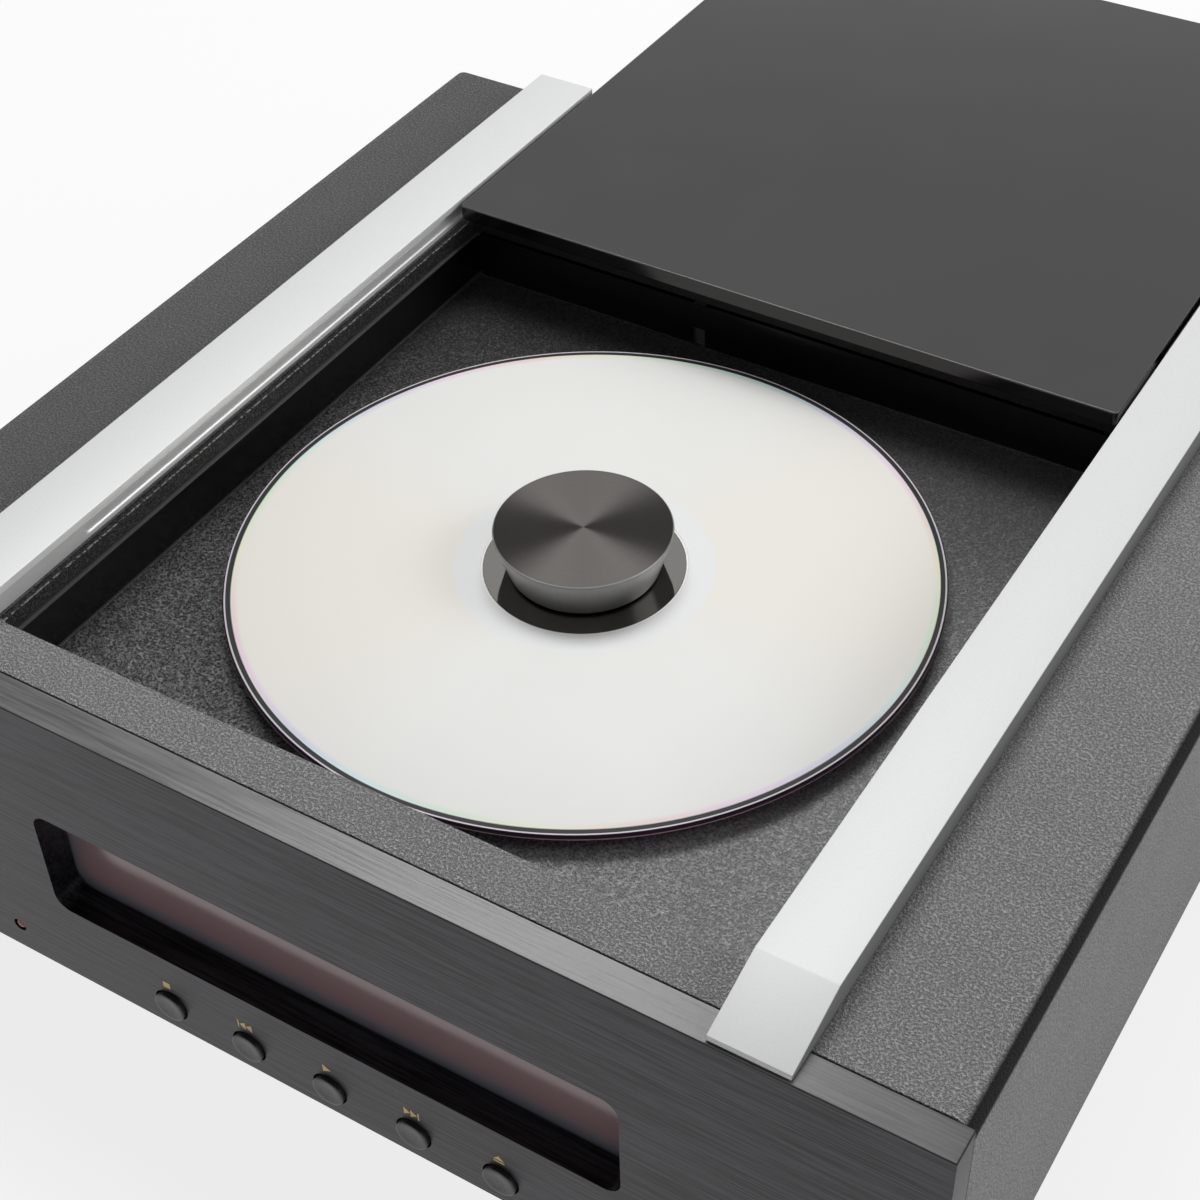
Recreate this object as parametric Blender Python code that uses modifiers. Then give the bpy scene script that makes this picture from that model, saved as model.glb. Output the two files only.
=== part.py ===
"""Top-loading disc player with a sliding lid, in metres, +Z up.

The disc lies in a shallow well in the cover and turns on a spindle. A turned puck
holds it down. The lid runs in grooves in two bright rails and stands open here.
The origin is under the middle of the whole outline, on the surface the feet stand on.
"""

import math

import bmesh
import bpy
from mathutils import Matrix

# Case
CASE_WIDTH = 0.206
CASE_DEPTH = 0.194
PANEL_HEIGHT = 0.0653
PANEL_THICKNESS = 0.0055
CASE_LIFT = 0.00775
FRONT_TO_SPINDLE = 0.080
COVER_THICKNESS = 0.003
COVER_BEND_RADIUS = 0.0033
PAN_THICKNESS = 0.0015
PAN_LIFT = 0.0003
PAN_SIDE_LIP = 0.012
PAN_REAR_LIP = 0.006
REAR_PANEL_THICKNESS = 0.0015

# Clearances
GAP = 0.0003
RUNNING_GAP = 0.0001
CUT_OVERRUN = 0.001

# Rails
RAIL_INNER_X = 0.0677
RAIL_WIDTH = 0.0125
RAIL_HEIGHT = 0.00495
RAIL_CREASE_TO_SPINDLE = 0.06635
RAIL_FRONT_HEIGHT = 0.0011
GROOVE_TOP_LAND = 0.0013
GROOVE_HEIGHT = 0.0021
GROOVE_DEPTH = 0.0018
GROOVE_FRONT_TO_SPINDLE = 0.0443

# Disc and puck
DISC_RADIUS = 0.060
DISC_THICKNESS = 0.0012
DISC_HOLE_RADIUS = 0.0075
DISC_BELOW_COVER = 0.0093
DISC_EDGE_RADIUS = 0.0002
PUCK_TOP_RADIUS = 0.015
PUCK_BASE_RADIUS = 0.0128
PUCK_HEIGHT = 0.0077
PUCK_RIM = 0.0003
MAGNET_RADIUS = 0.006
MAGNET_THICKNESS = 0.003

# Well
WELL_HALF_WIDTH = 0.0658
WELL_LIP_SHOW = 0.0005
WELL_FRONT = 0.0652
WELL_REAR = 0.0670
WELL_FLOOR_BELOW_DISC = 0.0027
WELL_WALL = 0.0015
WELL_FLANGE = 0.0036
WELL_HUB_HOLE_RADIUS = 0.018
LASER_SLOT_HALF_WIDTH = 0.0055
WELL_MARK_X = -0.016
WELL_MARK_WIDTH = 0.0025
WELL_MARK_HEIGHT = 0.0045
WELL_MARK_DEPTH = 0.0008

# Lid
LID_LENGTH = 0.137
LID_SIDE_GAP = 0.00105
LID_THICKNESS = 0.003
LID_OPEN_FRONT = 0.063
LID_TRAVEL = 0.129
LID_CORNER_RADIUS = 0.001
LID_EDGE = 0.0002
RUNNER_LENGTH = 0.025
RUNNER_WIDTH = 0.0044
RUNNER_SETBACK = 0.022
LID_MAGNET_LENGTH = 0.004
SENSOR_SIZE = (0.006, 0.012, 0.002)

# Front
WINDOW_HALF_WIDTH = 0.0542
WINDOW_TOP_BELOW_COVER = 0.0243
WINDOW_HEIGHT = 0.0225
WINDOW_CORNER_RADIUS = 0.003
WINDOW_SHEET = 0.002
WINDOW_MARGIN = 0.003
BUTTON_BELOW_COVER = 0.0593
BUTTON_RADIUS = 0.003
BUTTON_STAND = 0.0008
BUTTON_PITCH = 0.01625
BUTTON_EDGE = 0.0004
BUTTON_FLANGE_RADIUS = 0.0037
BUTTON_FLANGE = 0.001
BUTTON_STEM_RADIUS = 0.0015
BUTTON_TRAVEL = 0.0009
POWER_BUTTON_INSET = 0.025
POWER_LIGHT_INSET = 0.037
POWER_LIGHT_RADIUS = 0.001
BOARD_THICKNESS = 0.0016
FRONT_BOARD_SIDE_ROOM = 0.014
FRONT_BOARD_TOP_BELOW_COVER = 0.016
FRONT_BOARD_HEIGHT = 0.046
FRONT_BOARD_BEHIND_PANEL = 0.0081
SWITCH_BODY = 0.006
SWITCH_DEPTH = 0.0032
SWITCH_PLUNGER = 0.0008
DISPLAY_END_INSET = 0.0042
DISPLAY_EDGE_INSET = 0.0017
REMOTE_SENSOR_SIZE = (0.006, 0.004, 0.008)

# Drive under the well
MECHANISM_HALF_WIDTH = 0.050
MECHANISM_FRONT = 0.034
MECHANISM_REAR = 0.076
MECHANISM_THICKNESS = 0.002
MECHANISM_BELOW_WELL = 0.0026
MECHANISM_CORNER_RADIUS = 0.006
POST_X = 0.043
POST_INSET = 0.006
POST_RADIUS = 0.004
DAMPER_RADIUS = 0.005
DAMPER_HEIGHT = 0.008
DAMPER_STUD = 0.004
HUB_RADIUS = 0.015
HUB_LIFT = 0.0020
HUB_CONE_BASE_RADIUS = 0.0072
HUB_CONE_TOP_RADIUS = 0.005
RING_INNER_RADIUS = 0.010
RING_THICKNESS = 0.001
SHAFT_RADIUS = 0.001
MOTOR_RADIUS = 0.012
MOTOR_HEIGHT = 0.0134
SHAFT_TAIL = 0.001
SLED_INNER_REACH = 0.022
SLED_TRAVEL = 0.036
SLED_HALF_LENGTH = 0.009
SLED_HEIGHT = 0.008
SLED_OVERHANG = 0.004
ROD_LEFT_X = -0.018
ROD_RIGHT_X = 0.022
ROD_RADIUS = 0.0015
ROD_BELOW_PLATE = 0.00725
CLIP_HALF_WIDTH = 0.004
CLIP_LENGTH = 0.0035
SCREW_AXIS_X = 0.032
FEED_MOTOR_LENGTH = 0.022
TOWER_HALF_WIDTH = 0.009
TOWER_HALF_LENGTH = 0.008
LENS_RADIUS = 0.003
LENS_HEIGHT = 0.0025
LENS_FOCUS = 0.0004
LENS_BELOW_DISC = 0.0023

# Rear boards and sockets
MAIN_BOARD_SIDE_ROOM = 0.012
MAIN_BOARD_DEPTH = 0.031
MAIN_BOARD_REAR_SPACE = 0.007
MAIN_BOARD_LIFT = 0.0047
STANDOFF_RADIUS = 0.003
STANDOFF_INSET = 0.004
SOCKET_BODY = (0.011, 0.0097, 0.013)
SOCKET_AXIS_LIFT = 0.0066
PHONO_RADIUS = 0.0042
PHONO_REACH = 0.008
PHONO_BORE_RADIUS = 0.0017
PHONO_BORE_DEPTH = 0.009
INLET_RADIUS = 0.004
INLET_BORE_RADIUS = 0.0031
INLET_BORE_DEPTH = 0.009
INLET_PIN_RADIUS = 0.001
SOCKET_INSETS = {"phono_socket_left": 0.026, "phono_socket_right": 0.011, "digital_socket": 0.053}
INLET_INSET = 0.012
CAPACITOR_RADIUS = 0.004
CAPACITOR_HEIGHT = 0.011
CHIP_SIZE = (0.014, 0.014, 0.0016)

# Feet and fasteners
FOOT_RADIUS = 0.011
FOOT_EDGE = 0.0008
FOOT_SIDE_INSET = 0.019
FOOT_FRONT_INSET = 0.020
FOOT_REAR_INSET = 0.019
SCREW_RADIUS = 0.0015
SCREW_HEAD_RADIUS = 0.00275
SCREW_HEAD = 0.0018
SCREW_LENGTH = 0.0045
PIN_RADIUS = 0.0011
TAB_WIDTH = 0.009
TAB_HEIGHT = 0.024
TAB_INSET = 0.0075
COVER_SCREW_INSET = 0.020
REAR_SCREW_INSET = 0.007

# Ribbon between the boards
RIBBON_WIDTH = 0.014
RIBBON_THICKNESS = 0.0004
RIBBON_LIFT = 0.0006
RIBBON_RISE = 0.0028
PLUG_SIZE = (0.018, 0.003, 0.004)

# Worked out places
DISC_TOP_Z = CASE_LIFT + PANEL_HEIGHT - DISC_BELOW_COVER
COVER_TOP_Z = CASE_LIFT + PANEL_HEIGHT
COVER_UNDER_Z = COVER_TOP_Z - COVER_THICKNESS
RAIL_TOP_Z = COVER_TOP_Z + RAIL_HEIGHT
PAN_BOTTOM_Z = CASE_LIFT + PAN_LIFT
PAN_TOP_Z = PAN_BOTTOM_Z + PAN_THICKNESS
SPINDLE_Y = (FRONT_TO_SPINDLE + BUTTON_STAND - LID_OPEN_FRONT - LID_LENGTH) / 2
FRONT_Y = SPINDLE_Y - FRONT_TO_SPINDLE
PANEL_BACK_Y = FRONT_Y + PANEL_THICKNESS
REAR_Y = FRONT_Y + CASE_DEPTH
REAR_PANEL_INNER_Y = REAR_Y - REAR_PANEL_THICKNESS
INNER_HALF_WIDTH = CASE_WIDTH / 2 - COVER_THICKNESS
BUTTON_Z = COVER_TOP_Z - BUTTON_BELOW_COVER
POWER_BUTTON_X = POWER_BUTTON_INSET - CASE_WIDTH / 2
POWER_LIGHT_X = POWER_LIGHT_INSET - CASE_WIDTH / 2
FRONT_BOARD_HALF_WIDTH = INNER_HALF_WIDTH - FRONT_BOARD_SIDE_ROOM
MAIN_BOARD_HALF_WIDTH = INNER_HALF_WIDTH - MAIN_BOARD_SIDE_ROOM
FOOT_X = CASE_WIDTH / 2 - FOOT_SIDE_INSET
SOCKET_XS = {name: MAIN_BOARD_HALF_WIDTH - inset for name, inset in SOCKET_INSETS.items()}
INLET_X = INLET_INSET - MAIN_BOARD_HALF_WIDTH
FRONT_BOARD_Y = PANEL_BACK_Y + FRONT_BOARD_BEHIND_PANEL
SWITCH_FRONT_Y = FRONT_BOARD_Y - GAP - SWITCH_DEPTH
WELL_FLOOR_Z = DISC_TOP_Z - DISC_THICKNESS - WELL_FLOOR_BELOW_DISC
WELL_UNDER_Z = WELL_FLOOR_Z - WELL_WALL
PLATE_TOP_Z = WELL_UNDER_Z - MECHANISM_BELOW_WELL
PLATE_UNDER_Z = PLATE_TOP_Z - MECHANISM_THICKNESS
ROD_Z = PLATE_UNDER_Z - ROD_BELOW_PLATE
ROD_FRONT_Y = SPINDLE_Y + SLED_INNER_REACH - SLED_HALF_LENGTH - GAP - CLIP_LENGTH
ROD_REAR_Y = SPINDLE_Y + SLED_INNER_REACH + SLED_TRAVEL + SLED_HALF_LENGTH + GAP + CLIP_LENGTH
MAIN_BOARD_Z = PAN_TOP_Z + MAIN_BOARD_LIFT
MAIN_BOARD_TOP_Z = MAIN_BOARD_Z + BOARD_THICKNESS
MAIN_BOARD_REAR_Y = REAR_Y - MAIN_BOARD_REAR_SPACE
MAIN_BOARD_FRONT_Y = MAIN_BOARD_REAR_Y - MAIN_BOARD_DEPTH
SOCKET_Z = MAIN_BOARD_TOP_Z + GAP + SOCKET_AXIS_LIFT

# Shares of the sizes that they follow
RAIL_STUD_INSET_SHARE = 1.6
GROOVE_ROUNDING_SHARE = 0.98
TAB_SCREW_SHARE = 0.7
PLATE_SHAFT_HOLE_SHARE = 0.25
LENS_DOME_SHARE = 0.7
FEED_SCREW_INSIDE_MOTOR_SHARE = 0.8
RIBBON_BEND_SHARE = 1 / 3
RIBBON_CREST_SHARE = 0.5
RIBBON_EASE_SHARE = 0.125
RIBBON_END_SHARE = 1.5

# Steps of round pieces, and the directions that pieces are turned to
SHARP_DEGREES = 35
ROUND_STEPS = 24
FINE_STEPS = 64
MEDIUM_STEPS = 16
SMALL_STEPS = 10
ARC_STEPS = 4
FACING_FRONT = (math.pi / 2, 0, 0)
FACING_REAR = (-math.pi / 2, 0, 0)
FACING_SIDE = (math.pi / 2, 0, math.pi / 2)
UPRIGHT = (0, 0, 0)


# Scene and helpers

def clear_scene():
    """Remove every object that the scene starts with."""
    for item in list(bpy.data.objects):
        bpy.data.objects.remove(item, do_unlink=True)


def new_collection(name):
    """Make a collection under the scene."""
    collection = bpy.data.collections.new(name)
    bpy.context.scene.collection.children.link(collection)
    return collection


clear_scene()
PARTS = new_collection("disc_player")
CUTTERS = new_collection("cutters")


def finish(name, colour, roughness, metallic):
    """A Principled material with one plain colour."""
    material = bpy.data.materials.new(name)
    material.use_nodes = True
    shader = material.node_tree.nodes["Principled BSDF"]
    shader.inputs["Base Color"].default_value = (*colour, 1)
    shader.inputs["Roughness"].default_value = roughness
    shader.inputs["Metallic"].default_value = metallic
    return material


def add_object(name, mesh, place, turn, collection):
    """Put a mesh into a collection as a placed object."""
    item = bpy.data.objects.new(name, mesh)
    collection.objects.link(item)
    item.location = place
    item.rotation_euler = turn
    return item


def paint(item, material):
    """Give an object its material as its only slot."""
    item.data.materials.clear()
    item.data.materials.append(material)
    return item


def round_edges(item, width, segments=2):
    """Round every edge of an object with a Bevel."""
    bevel = item.modifiers.new("rounded_edges", "BEVEL")
    bevel.width = width
    bevel.segments = segments
    bevel.limit_method = "ANGLE"
    return item


def box(name, low, high, material=None, collection=PARTS):
    """A cuboid between two corners, its origin at its middle."""
    mesh = bpy.data.meshes.new(name)
    form = bmesh.new()
    bmesh.ops.create_cube(form, size=1)
    size = [b - a for a, b in zip(low, high)]
    bmesh.ops.transform(form, matrix=Matrix.Diagonal((*size, 1)), verts=form.verts)
    form.to_mesh(mesh)
    form.free()
    middle = [(a + b) / 2 for a, b in zip(low, high)]
    item = add_object(name, mesh, middle, UPRIGHT, collection)
    if material is not None:
        paint(item, material)
    return item


def turned(name, profile, place, turn=UPRIGHT, steps=ROUND_STEPS, material=None,
           closed=False, collection=PARTS):
    """Turn a profile of (radius, height) points, given down the outer side, about Z."""
    mesh = bpy.data.meshes.new(name)
    points = [(radius, 0, height) for radius, height in profile]
    edges = [(i, i + 1) for i in range(len(points) - 1)]
    if closed:
        edges.append((len(points) - 1, 0))
    mesh.from_pydata(points, edges, [])
    item = add_object(name, mesh, place, turn, collection)
    screw = item.modifiers.new("turned", "SCREW")
    screw.steps = steps
    screw.render_steps = steps
    screw.use_merge_vertices = True
    screw.merge_threshold = 0.00001
    screw.use_smooth_shade = True
    if material is not None:
        paint(item, material)
    return item


def settled(item):
    """Replace an object by its evaluated mesh, so that it can be cut or copied."""
    bpy.context.view_layer.update()
    graph = bpy.context.evaluated_depsgraph_get()
    mesh = bpy.data.meshes.new_from_object(item.evaluated_get(graph))
    form = bmesh.new()
    form.from_mesh(mesh)
    bmesh.ops.remove_doubles(form, verts=form.verts, dist=RUNNING_GAP / 100)
    bmesh.ops.recalc_face_normals(form, faces=form.faces)
    form.to_mesh(mesh)
    form.free()
    name = item.name
    place = item.matrix_world.copy()
    collection = item.users_collection[0]
    bpy.data.objects.remove(item, do_unlink=True)
    mesh.name = name
    fresh = bpy.data.objects.new(name, mesh)
    collection.objects.link(fresh)
    fresh.matrix_world = place
    return fresh


def extruded(name, outlines, thickness, place, turn=UPRIGHT, material=None, collection=PARTS):
    """A flat outline, with inner outlines as holes, given a thickness along its local Z."""
    curve = bpy.data.curves.new(name, "CURVE")
    curve.dimensions = "2D"
    curve.fill_mode = "BOTH"
    curve.extrude = thickness / 2
    for outline in outlines:
        spline = curve.splines.new("POLY")
        spline.points.add(len(outline) - 1)
        for point, (across, along) in zip(spline.points, outline):
            point.co = (across, along, 0, 1)
        spline.use_cyclic_u = True
    item = settled(add_object(name, curve, place, turn, collection))
    if material is not None:
        paint(item, material)
    return item


def rectangle(low, high, radius=0):
    """Outline of a rectangle, with round corners where a radius is given."""
    if radius == 0:
        return [low, (high[0], low[1]), high, (low[0], high[1])]
    corners = [(high[0] - radius, high[1] - radius), (low[0] + radius, high[1] - radius),
               (low[0] + radius, low[1] + radius), (high[0] - radius, low[1] + radius)]
    outline = []
    for quarter, (across, along) in enumerate(corners):
        for step in range(ARC_STEPS + 1):
            angle = math.pi / 2 * (quarter + step / ARC_STEPS)
            outline.append((across + radius * math.cos(angle), along + radius * math.sin(angle)))
    return outline


def circle(across, along, radius, steps=SMALL_STEPS):
    """Outline of a circle, turned by its place so that no corners of neighbours line up."""
    start = across / radius + along / radius
    angles = [start + 2 * math.pi * step / steps for step in range(steps)]
    return [(across + radius * math.cos(a), along + radius * math.sin(a)) for a in angles]


def as_cutter(item):
    """Mark an object as a tool that only shapes others."""
    item.hide_render = True
    item.display_type = "WIRE"
    return item


def combine(item, other, operation="DIFFERENCE"):
    """Cut or join one object by another."""
    boolean = item.modifiers.new(operation.lower(), "BOOLEAN")
    boolean.operation = operation
    boolean.solver = "EXACT"
    boolean.object = as_cutter(other)
    return item


def cut_box(item, low, high):
    """Cut a cuboid out of an object."""
    return combine(item, box(item.name + "_cut", low, high, collection=CUTTERS))


def cylinder(name, radius, length, place, turn=UPRIGHT, steps=SMALL_STEPS, collection=CUTTERS,
             material=None):
    """A plain cylinder from its place along its local Z."""
    mesh = bpy.data.meshes.new(name)
    form = bmesh.new()
    bmesh.ops.create_cone(form, cap_ends=True, segments=steps, radius1=radius, radius2=radius,
                          depth=length, matrix=Matrix.Translation((0, 0, length / 2)))
    form.to_mesh(mesh)
    form.free()
    item = add_object(name, mesh, place, turn, collection)
    if material is not None:
        paint(item, material)
    return item


def bore(item, radius, length, place, turn=UPRIGHT, steps=SMALL_STEPS):
    """Drill an object from a place along a direction."""
    return combine(item, cylinder(item.name + "_bore", radius, length, place, turn, steps))


def grow(item, radius, length, place, turn=UPRIGHT, steps=SMALL_STEPS):
    """Join a round post to an object, from a place along a direction."""
    return combine(item, cylinder(item.name + "_post_cut", radius, length, place, turn, steps), "UNION")


def grow_box(item, low, high):
    """Join a cuboid to an object."""
    return combine(item, box(item.name + "_block_cut", low, high, collection=CUTTERS), "UNION")


def screw(name, place, turn):
    """Screw with a round head, from the seat of its head along its local -Z."""
    profile = [(0, SCREW_HEAD), (SCREW_HEAD_RADIUS, SCREW_HEAD), (SCREW_HEAD_RADIUS, 0),
               (SCREW_RADIUS, 0), (SCREW_RADIUS, -SCREW_LENGTH), (0, -SCREW_LENGTH)]
    return smooth_round(turned(name, profile, place, turn, steps=SMALL_STEPS, material=STEEL))


def smooth_round(item):
    """Shade a round piece smooth but keep its corners crisp."""
    item.data.shade_smooth()
    item.data.set_sharp_from_angle(angle=math.radians(SHARP_DEGREES))
    return item


# Finishes

COVER_PAINT = finish("textured_black_paint", (0.085, 0.085, 0.087), 0.62, 0.1)
RAIL_SILVER = finish("satin_silver", (0.78, 0.79, 0.78), 0.42, 0.85)
PANEL_BLACK = finish("brushed_black_aluminium", (0.045, 0.045, 0.05), 0.38, 0.7)
WELL_BLACK = finish("moulded_black", (0.06, 0.06, 0.062), 0.5, 0.0)
LID_SMOKE = finish("smoked_acrylic", (0.075, 0.075, 0.075), 0.2, 0.0)
WINDOW_SMOKE = finish("smoked_window", (0.06, 0.045, 0.045), 0.12, 0.0)
DISC_WHITE = finish("white_disc_face", (0.78, 0.76, 0.72), 0.3, 0.0)
PUCK_DARK = finish("turned_anthracite", (0.16, 0.15, 0.15), 0.28, 0.95)
BUTTON_BLACK = finish("button_black", (0.05, 0.05, 0.055), 0.4, 0.5)
STEEL = finish("plain_steel", (0.55, 0.55, 0.56), 0.35, 1.0)
ZINC = finish("zinc_sheet", (0.6, 0.61, 0.62), 0.45, 0.9)
RUBBER = finish("black_rubber", (0.03, 0.03, 0.03), 0.85, 0.0)
PLASTIC = finish("black_plastic", (0.04, 0.04, 0.042), 0.5, 0.0)
WHITE_PLASTIC = finish("white_plastic", (0.75, 0.75, 0.72), 0.45, 0.0)
CIRCUIT_GREEN = finish("circuit_board", (0.02, 0.12, 0.06), 0.4, 0.0)
GLASS = finish("lens_glass", (0.2, 0.25, 0.4), 0.05, 0.0)
RED_GLASS = finish("display_red", (0.25, 0.04, 0.03), 0.3, 0.0)
MAGNET = finish("nickel", (0.5, 0.48, 0.45), 0.3, 1.0)
BRASS = finish("gilt_brass", (0.72, 0.52, 0.2), 0.3, 1.0)
RIBBON_GREY = finish("ribbon_grey", (0.45, 0.45, 0.47), 0.5, 0.0)


# Case

def top_cover():
    """Thick sheet bent down at both sides, with the opening of the well."""
    half = CASE_WIDTH / 2
    outline = [(-half, PAN_BOTTOM_Z)]
    for side in (-1, 1):
        middle_x = side * (half - COVER_BEND_RADIUS)
        for step in range(ARC_STEPS + 1):
            angle = math.pi / 2 * step / ARC_STEPS
            if side < 0:
                angle = math.pi - angle
            else:
                angle = math.pi / 2 - angle
            outline.append((middle_x + COVER_BEND_RADIUS * math.cos(angle),
                            COVER_TOP_Z - COVER_BEND_RADIUS + COVER_BEND_RADIUS * math.sin(angle)))
    outline.append((half, PAN_BOTTOM_Z))
    outline.append((INNER_HALF_WIDTH, PAN_BOTTOM_Z))
    outline.append((INNER_HALF_WIDTH, COVER_UNDER_Z))
    outline.append((-INNER_HALF_WIDTH, COVER_UNDER_Z))
    outline.append((-INNER_HALF_WIDTH, PAN_BOTTOM_Z))
    front = PANEL_BACK_Y + GAP
    cover = extruded("top_cover", [outline], REAR_Y - front, (0, (front + REAR_Y) / 2, 0),
                     FACING_FRONT, COVER_PAINT)
    edge = WELL_HALF_WIDTH + WELL_LIP_SHOW
    cut_box(cover, (-edge, SPINDLE_Y - WELL_FRONT - WELL_LIP_SHOW, COVER_UNDER_Z - CUT_OVERRUN),
            (edge, SPINDLE_Y + WELL_REAR + WELL_LIP_SHOW, COVER_TOP_Z + CUT_OVERRUN))
    for x, y in rail_stud_places():
        bore(cover, PIN_RADIUS + GAP, COVER_THICKNESS + CUT_OVERRUN * 2,
             (x, y, COVER_UNDER_Z - CUT_OVERRUN))
    for side, y in cover_screw_places():
        face = side * CASE_WIDTH / 2
        turn = (0, -side * math.pi / 2, 0)
        start = (face + side * CUT_OVERRUN, y, COVER_SCREW_Z)
        bore(cover, SCREW_HEAD_RADIUS + GAP, SCREW_HEAD + GAP * 2 + CUT_OVERRUN, start, turn)
        bore(cover, SCREW_RADIUS + GAP, COVER_THICKNESS + CUT_OVERRUN * 2, start, turn)
    return smooth_round(cover)


COVER_SCREW_Z = PAN_TOP_Z + PAN_SIDE_LIP / 2


def rail_stud_places():
    """Places of the studs that hold the rails, three to a rail."""
    x = RAIL_INNER_X + RAIL_WIDTH / 2
    inset = RAIL_WIDTH * RAIL_STUD_INSET_SHARE
    front = FRONT_Y + PANEL_THICKNESS + inset
    rear = REAR_Y - inset
    return [(side * x, y) for side in (-1, 1) for y in (front, (front + rear) / 2, rear)]


def cover_screw_places():
    """Side and depth of the screws through the cover's sides."""
    front = PANEL_BACK_Y + COVER_SCREW_INSET
    rear = REAR_Y - COVER_SCREW_INSET
    return [(side, y) for side in (-1, 1) for y in (front, rear)]


def base_pan():
    """Bottom sheet with lips and front tabs turned up, and posts pressed into it."""
    half = INNER_HALF_WIDTH - GAP
    front = PANEL_BACK_Y + GAP
    rear = REAR_PANEL_INNER_Y - GAP
    inside_z = PAN_BOTTOM_Z + PAN_THICKNESS / 2
    pan = box("base_pan", (-half, front, PAN_BOTTOM_Z), (half, rear, PAN_TOP_Z), ZINC)
    for side in (-1, 1):
        xs = sorted((side * half, side * (half - PAN_THICKNESS)))
        grow_box(pan, (xs[0], front, PAN_BOTTOM_Z), (xs[1], rear, PAN_TOP_Z + PAN_SIDE_LIP))
        tab_x = side * FRONT_TAB_X
        grow_box(pan, (tab_x - TAB_WIDTH / 2, front, inside_z),
                 (tab_x + TAB_WIDTH / 2, front + PAN_THICKNESS, PAN_TOP_Z + TAB_HEIGHT))
        bore(pan, SCREW_RADIUS + GAP, PAN_THICKNESS + CUT_OVERRUN * 2,
             (tab_x, front - CUT_OVERRUN, FRONT_SCREW_Z), FACING_REAR)
    grow_box(pan, (-half, rear - PAN_THICKNESS, PAN_BOTTOM_Z), (half, rear, PAN_TOP_Z + PAN_REAR_LIP))
    for x, y in post_places():
        grow(pan, POST_RADIUS, DAMPER_LOW_Z - GAP - inside_z, (x, y, inside_z))
        bore(pan, PIN_RADIUS + GAP, DAMPER_STUD + GAP + CUT_OVERRUN,
             (x, y, DAMPER_LOW_Z - GAP - DAMPER_STUD - GAP))
    for x, y in standoff_places():
        grow(pan, STANDOFF_RADIUS, MAIN_BOARD_Z - GAP - inside_z, (x, y, inside_z))
        grow(pan, PIN_RADIUS, MAIN_BOARD_TOP_Z + BOARD_THICKNESS - inside_z, (x, y, inside_z))
    for x, y in foot_places():
        bore(pan, PIN_RADIUS + GAP, PAN_THICKNESS + CUT_OVERRUN * 2,
             (x, y, PAN_BOTTOM_Z - CUT_OVERRUN))
    for side, y in cover_screw_places():
        bore(pan, SCREW_RADIUS + GAP, COVER_THICKNESS * 2,
             (side * (CASE_WIDTH / 2), y, COVER_SCREW_Z), (0, -side * math.pi / 2, 0))
    for x in rear_screw_xs():
        bore(pan, SCREW_RADIUS + GAP, COVER_THICKNESS * 2, (x, REAR_Y, REAR_SCREW_Z), FACING_FRONT)
    return smooth_round(pan)


REAR_SCREW_Z = PAN_TOP_Z + PAN_REAR_LIP / 2


def rear_screw_xs():
    """Places across the rear of the screws into the pan's lip."""
    x = INNER_HALF_WIDTH - REAR_SCREW_INSET
    return [-x, x]


def front_panel():
    """Thick front plate with the display opening, the button holes and posts for its board."""
    half = CASE_WIDTH / 2
    outlines = [rectangle((-half, CASE_LIFT), (half, COVER_TOP_Z), BUTTON_EDGE),
                rectangle((-WINDOW_HALF_WIDTH, WINDOW_LOW_Z), (WINDOW_HALF_WIDTH, WINDOW_TOP_Z),
                          WINDOW_CORNER_RADIUS)]
    for x in button_xs():
        outlines.append(circle(x, BUTTON_Z, BUTTON_RADIUS + GAP, ROUND_STEPS))
    outlines.append(circle(POWER_LIGHT_X, BUTTON_Z, POWER_LIGHT_RADIUS + GAP))
    panel = extruded("front_panel", outlines, PANEL_THICKNESS,
                     (0, FRONT_Y + PANEL_THICKNESS / 2, 0), FACING_FRONT, PANEL_BLACK)
    for side in (-1, 1):
        bore(panel, SCREW_RADIUS + GAP, PANEL_THICKNESS - PAN_THICKNESS + CUT_OVERRUN,
             (side * FRONT_TAB_X, PANEL_BACK_Y + CUT_OVERRUN, FRONT_SCREW_Z), FACING_FRONT)
    inside_y = PANEL_BACK_Y - PANEL_THICKNESS / 2
    for x, z in board_post_places():
        grow(panel, STANDOFF_RADIUS, FRONT_BOARD_Y - GAP - inside_y, (x, inside_y, z), FACING_REAR)
        grow(panel, PIN_RADIUS, FRONT_BOARD_Y + BOARD_THICKNESS * 2 - inside_y, (x, inside_y, z),
             FACING_REAR)
    return smooth_round(panel)


FRONT_TAB_X = INNER_HALF_WIDTH - TAB_INSET
FRONT_SCREW_Z = PAN_TOP_Z + TAB_HEIGHT * TAB_SCREW_SHARE
WINDOW_TOP_Z = COVER_TOP_Z - WINDOW_TOP_BELOW_COVER
WINDOW_LOW_Z = WINDOW_TOP_Z - WINDOW_HEIGHT


def button_xs():
    """Places across the front of the five transport buttons and the power button."""
    return [BUTTON_PITCH * step for step in (-2, -1, 0, 1, 2)] + [POWER_BUTTON_X]


def rear_panel():
    """Rear plate with the holes of the sockets."""
    half = INNER_HALF_WIDTH - GAP
    outlines = [rectangle((-half, PAN_BOTTOM_Z), (half, COVER_UNDER_Z - GAP))]
    for x in SOCKET_XS.values():
        outlines.append(circle(x, SOCKET_Z, PHONO_RADIUS + GAP, ROUND_STEPS))
    outlines.append(circle(INLET_X, SOCKET_Z, INLET_RADIUS + GAP, ROUND_STEPS))
    for x in rear_screw_xs():
        outlines.append(circle(x, REAR_SCREW_Z, SCREW_RADIUS + GAP))
    panel = extruded("rear_panel", outlines, REAR_PANEL_THICKNESS,
                     (0, REAR_Y - REAR_PANEL_THICKNESS / 2, 0), FACING_FRONT, COVER_PAINT)
    return smooth_round(panel)


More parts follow.
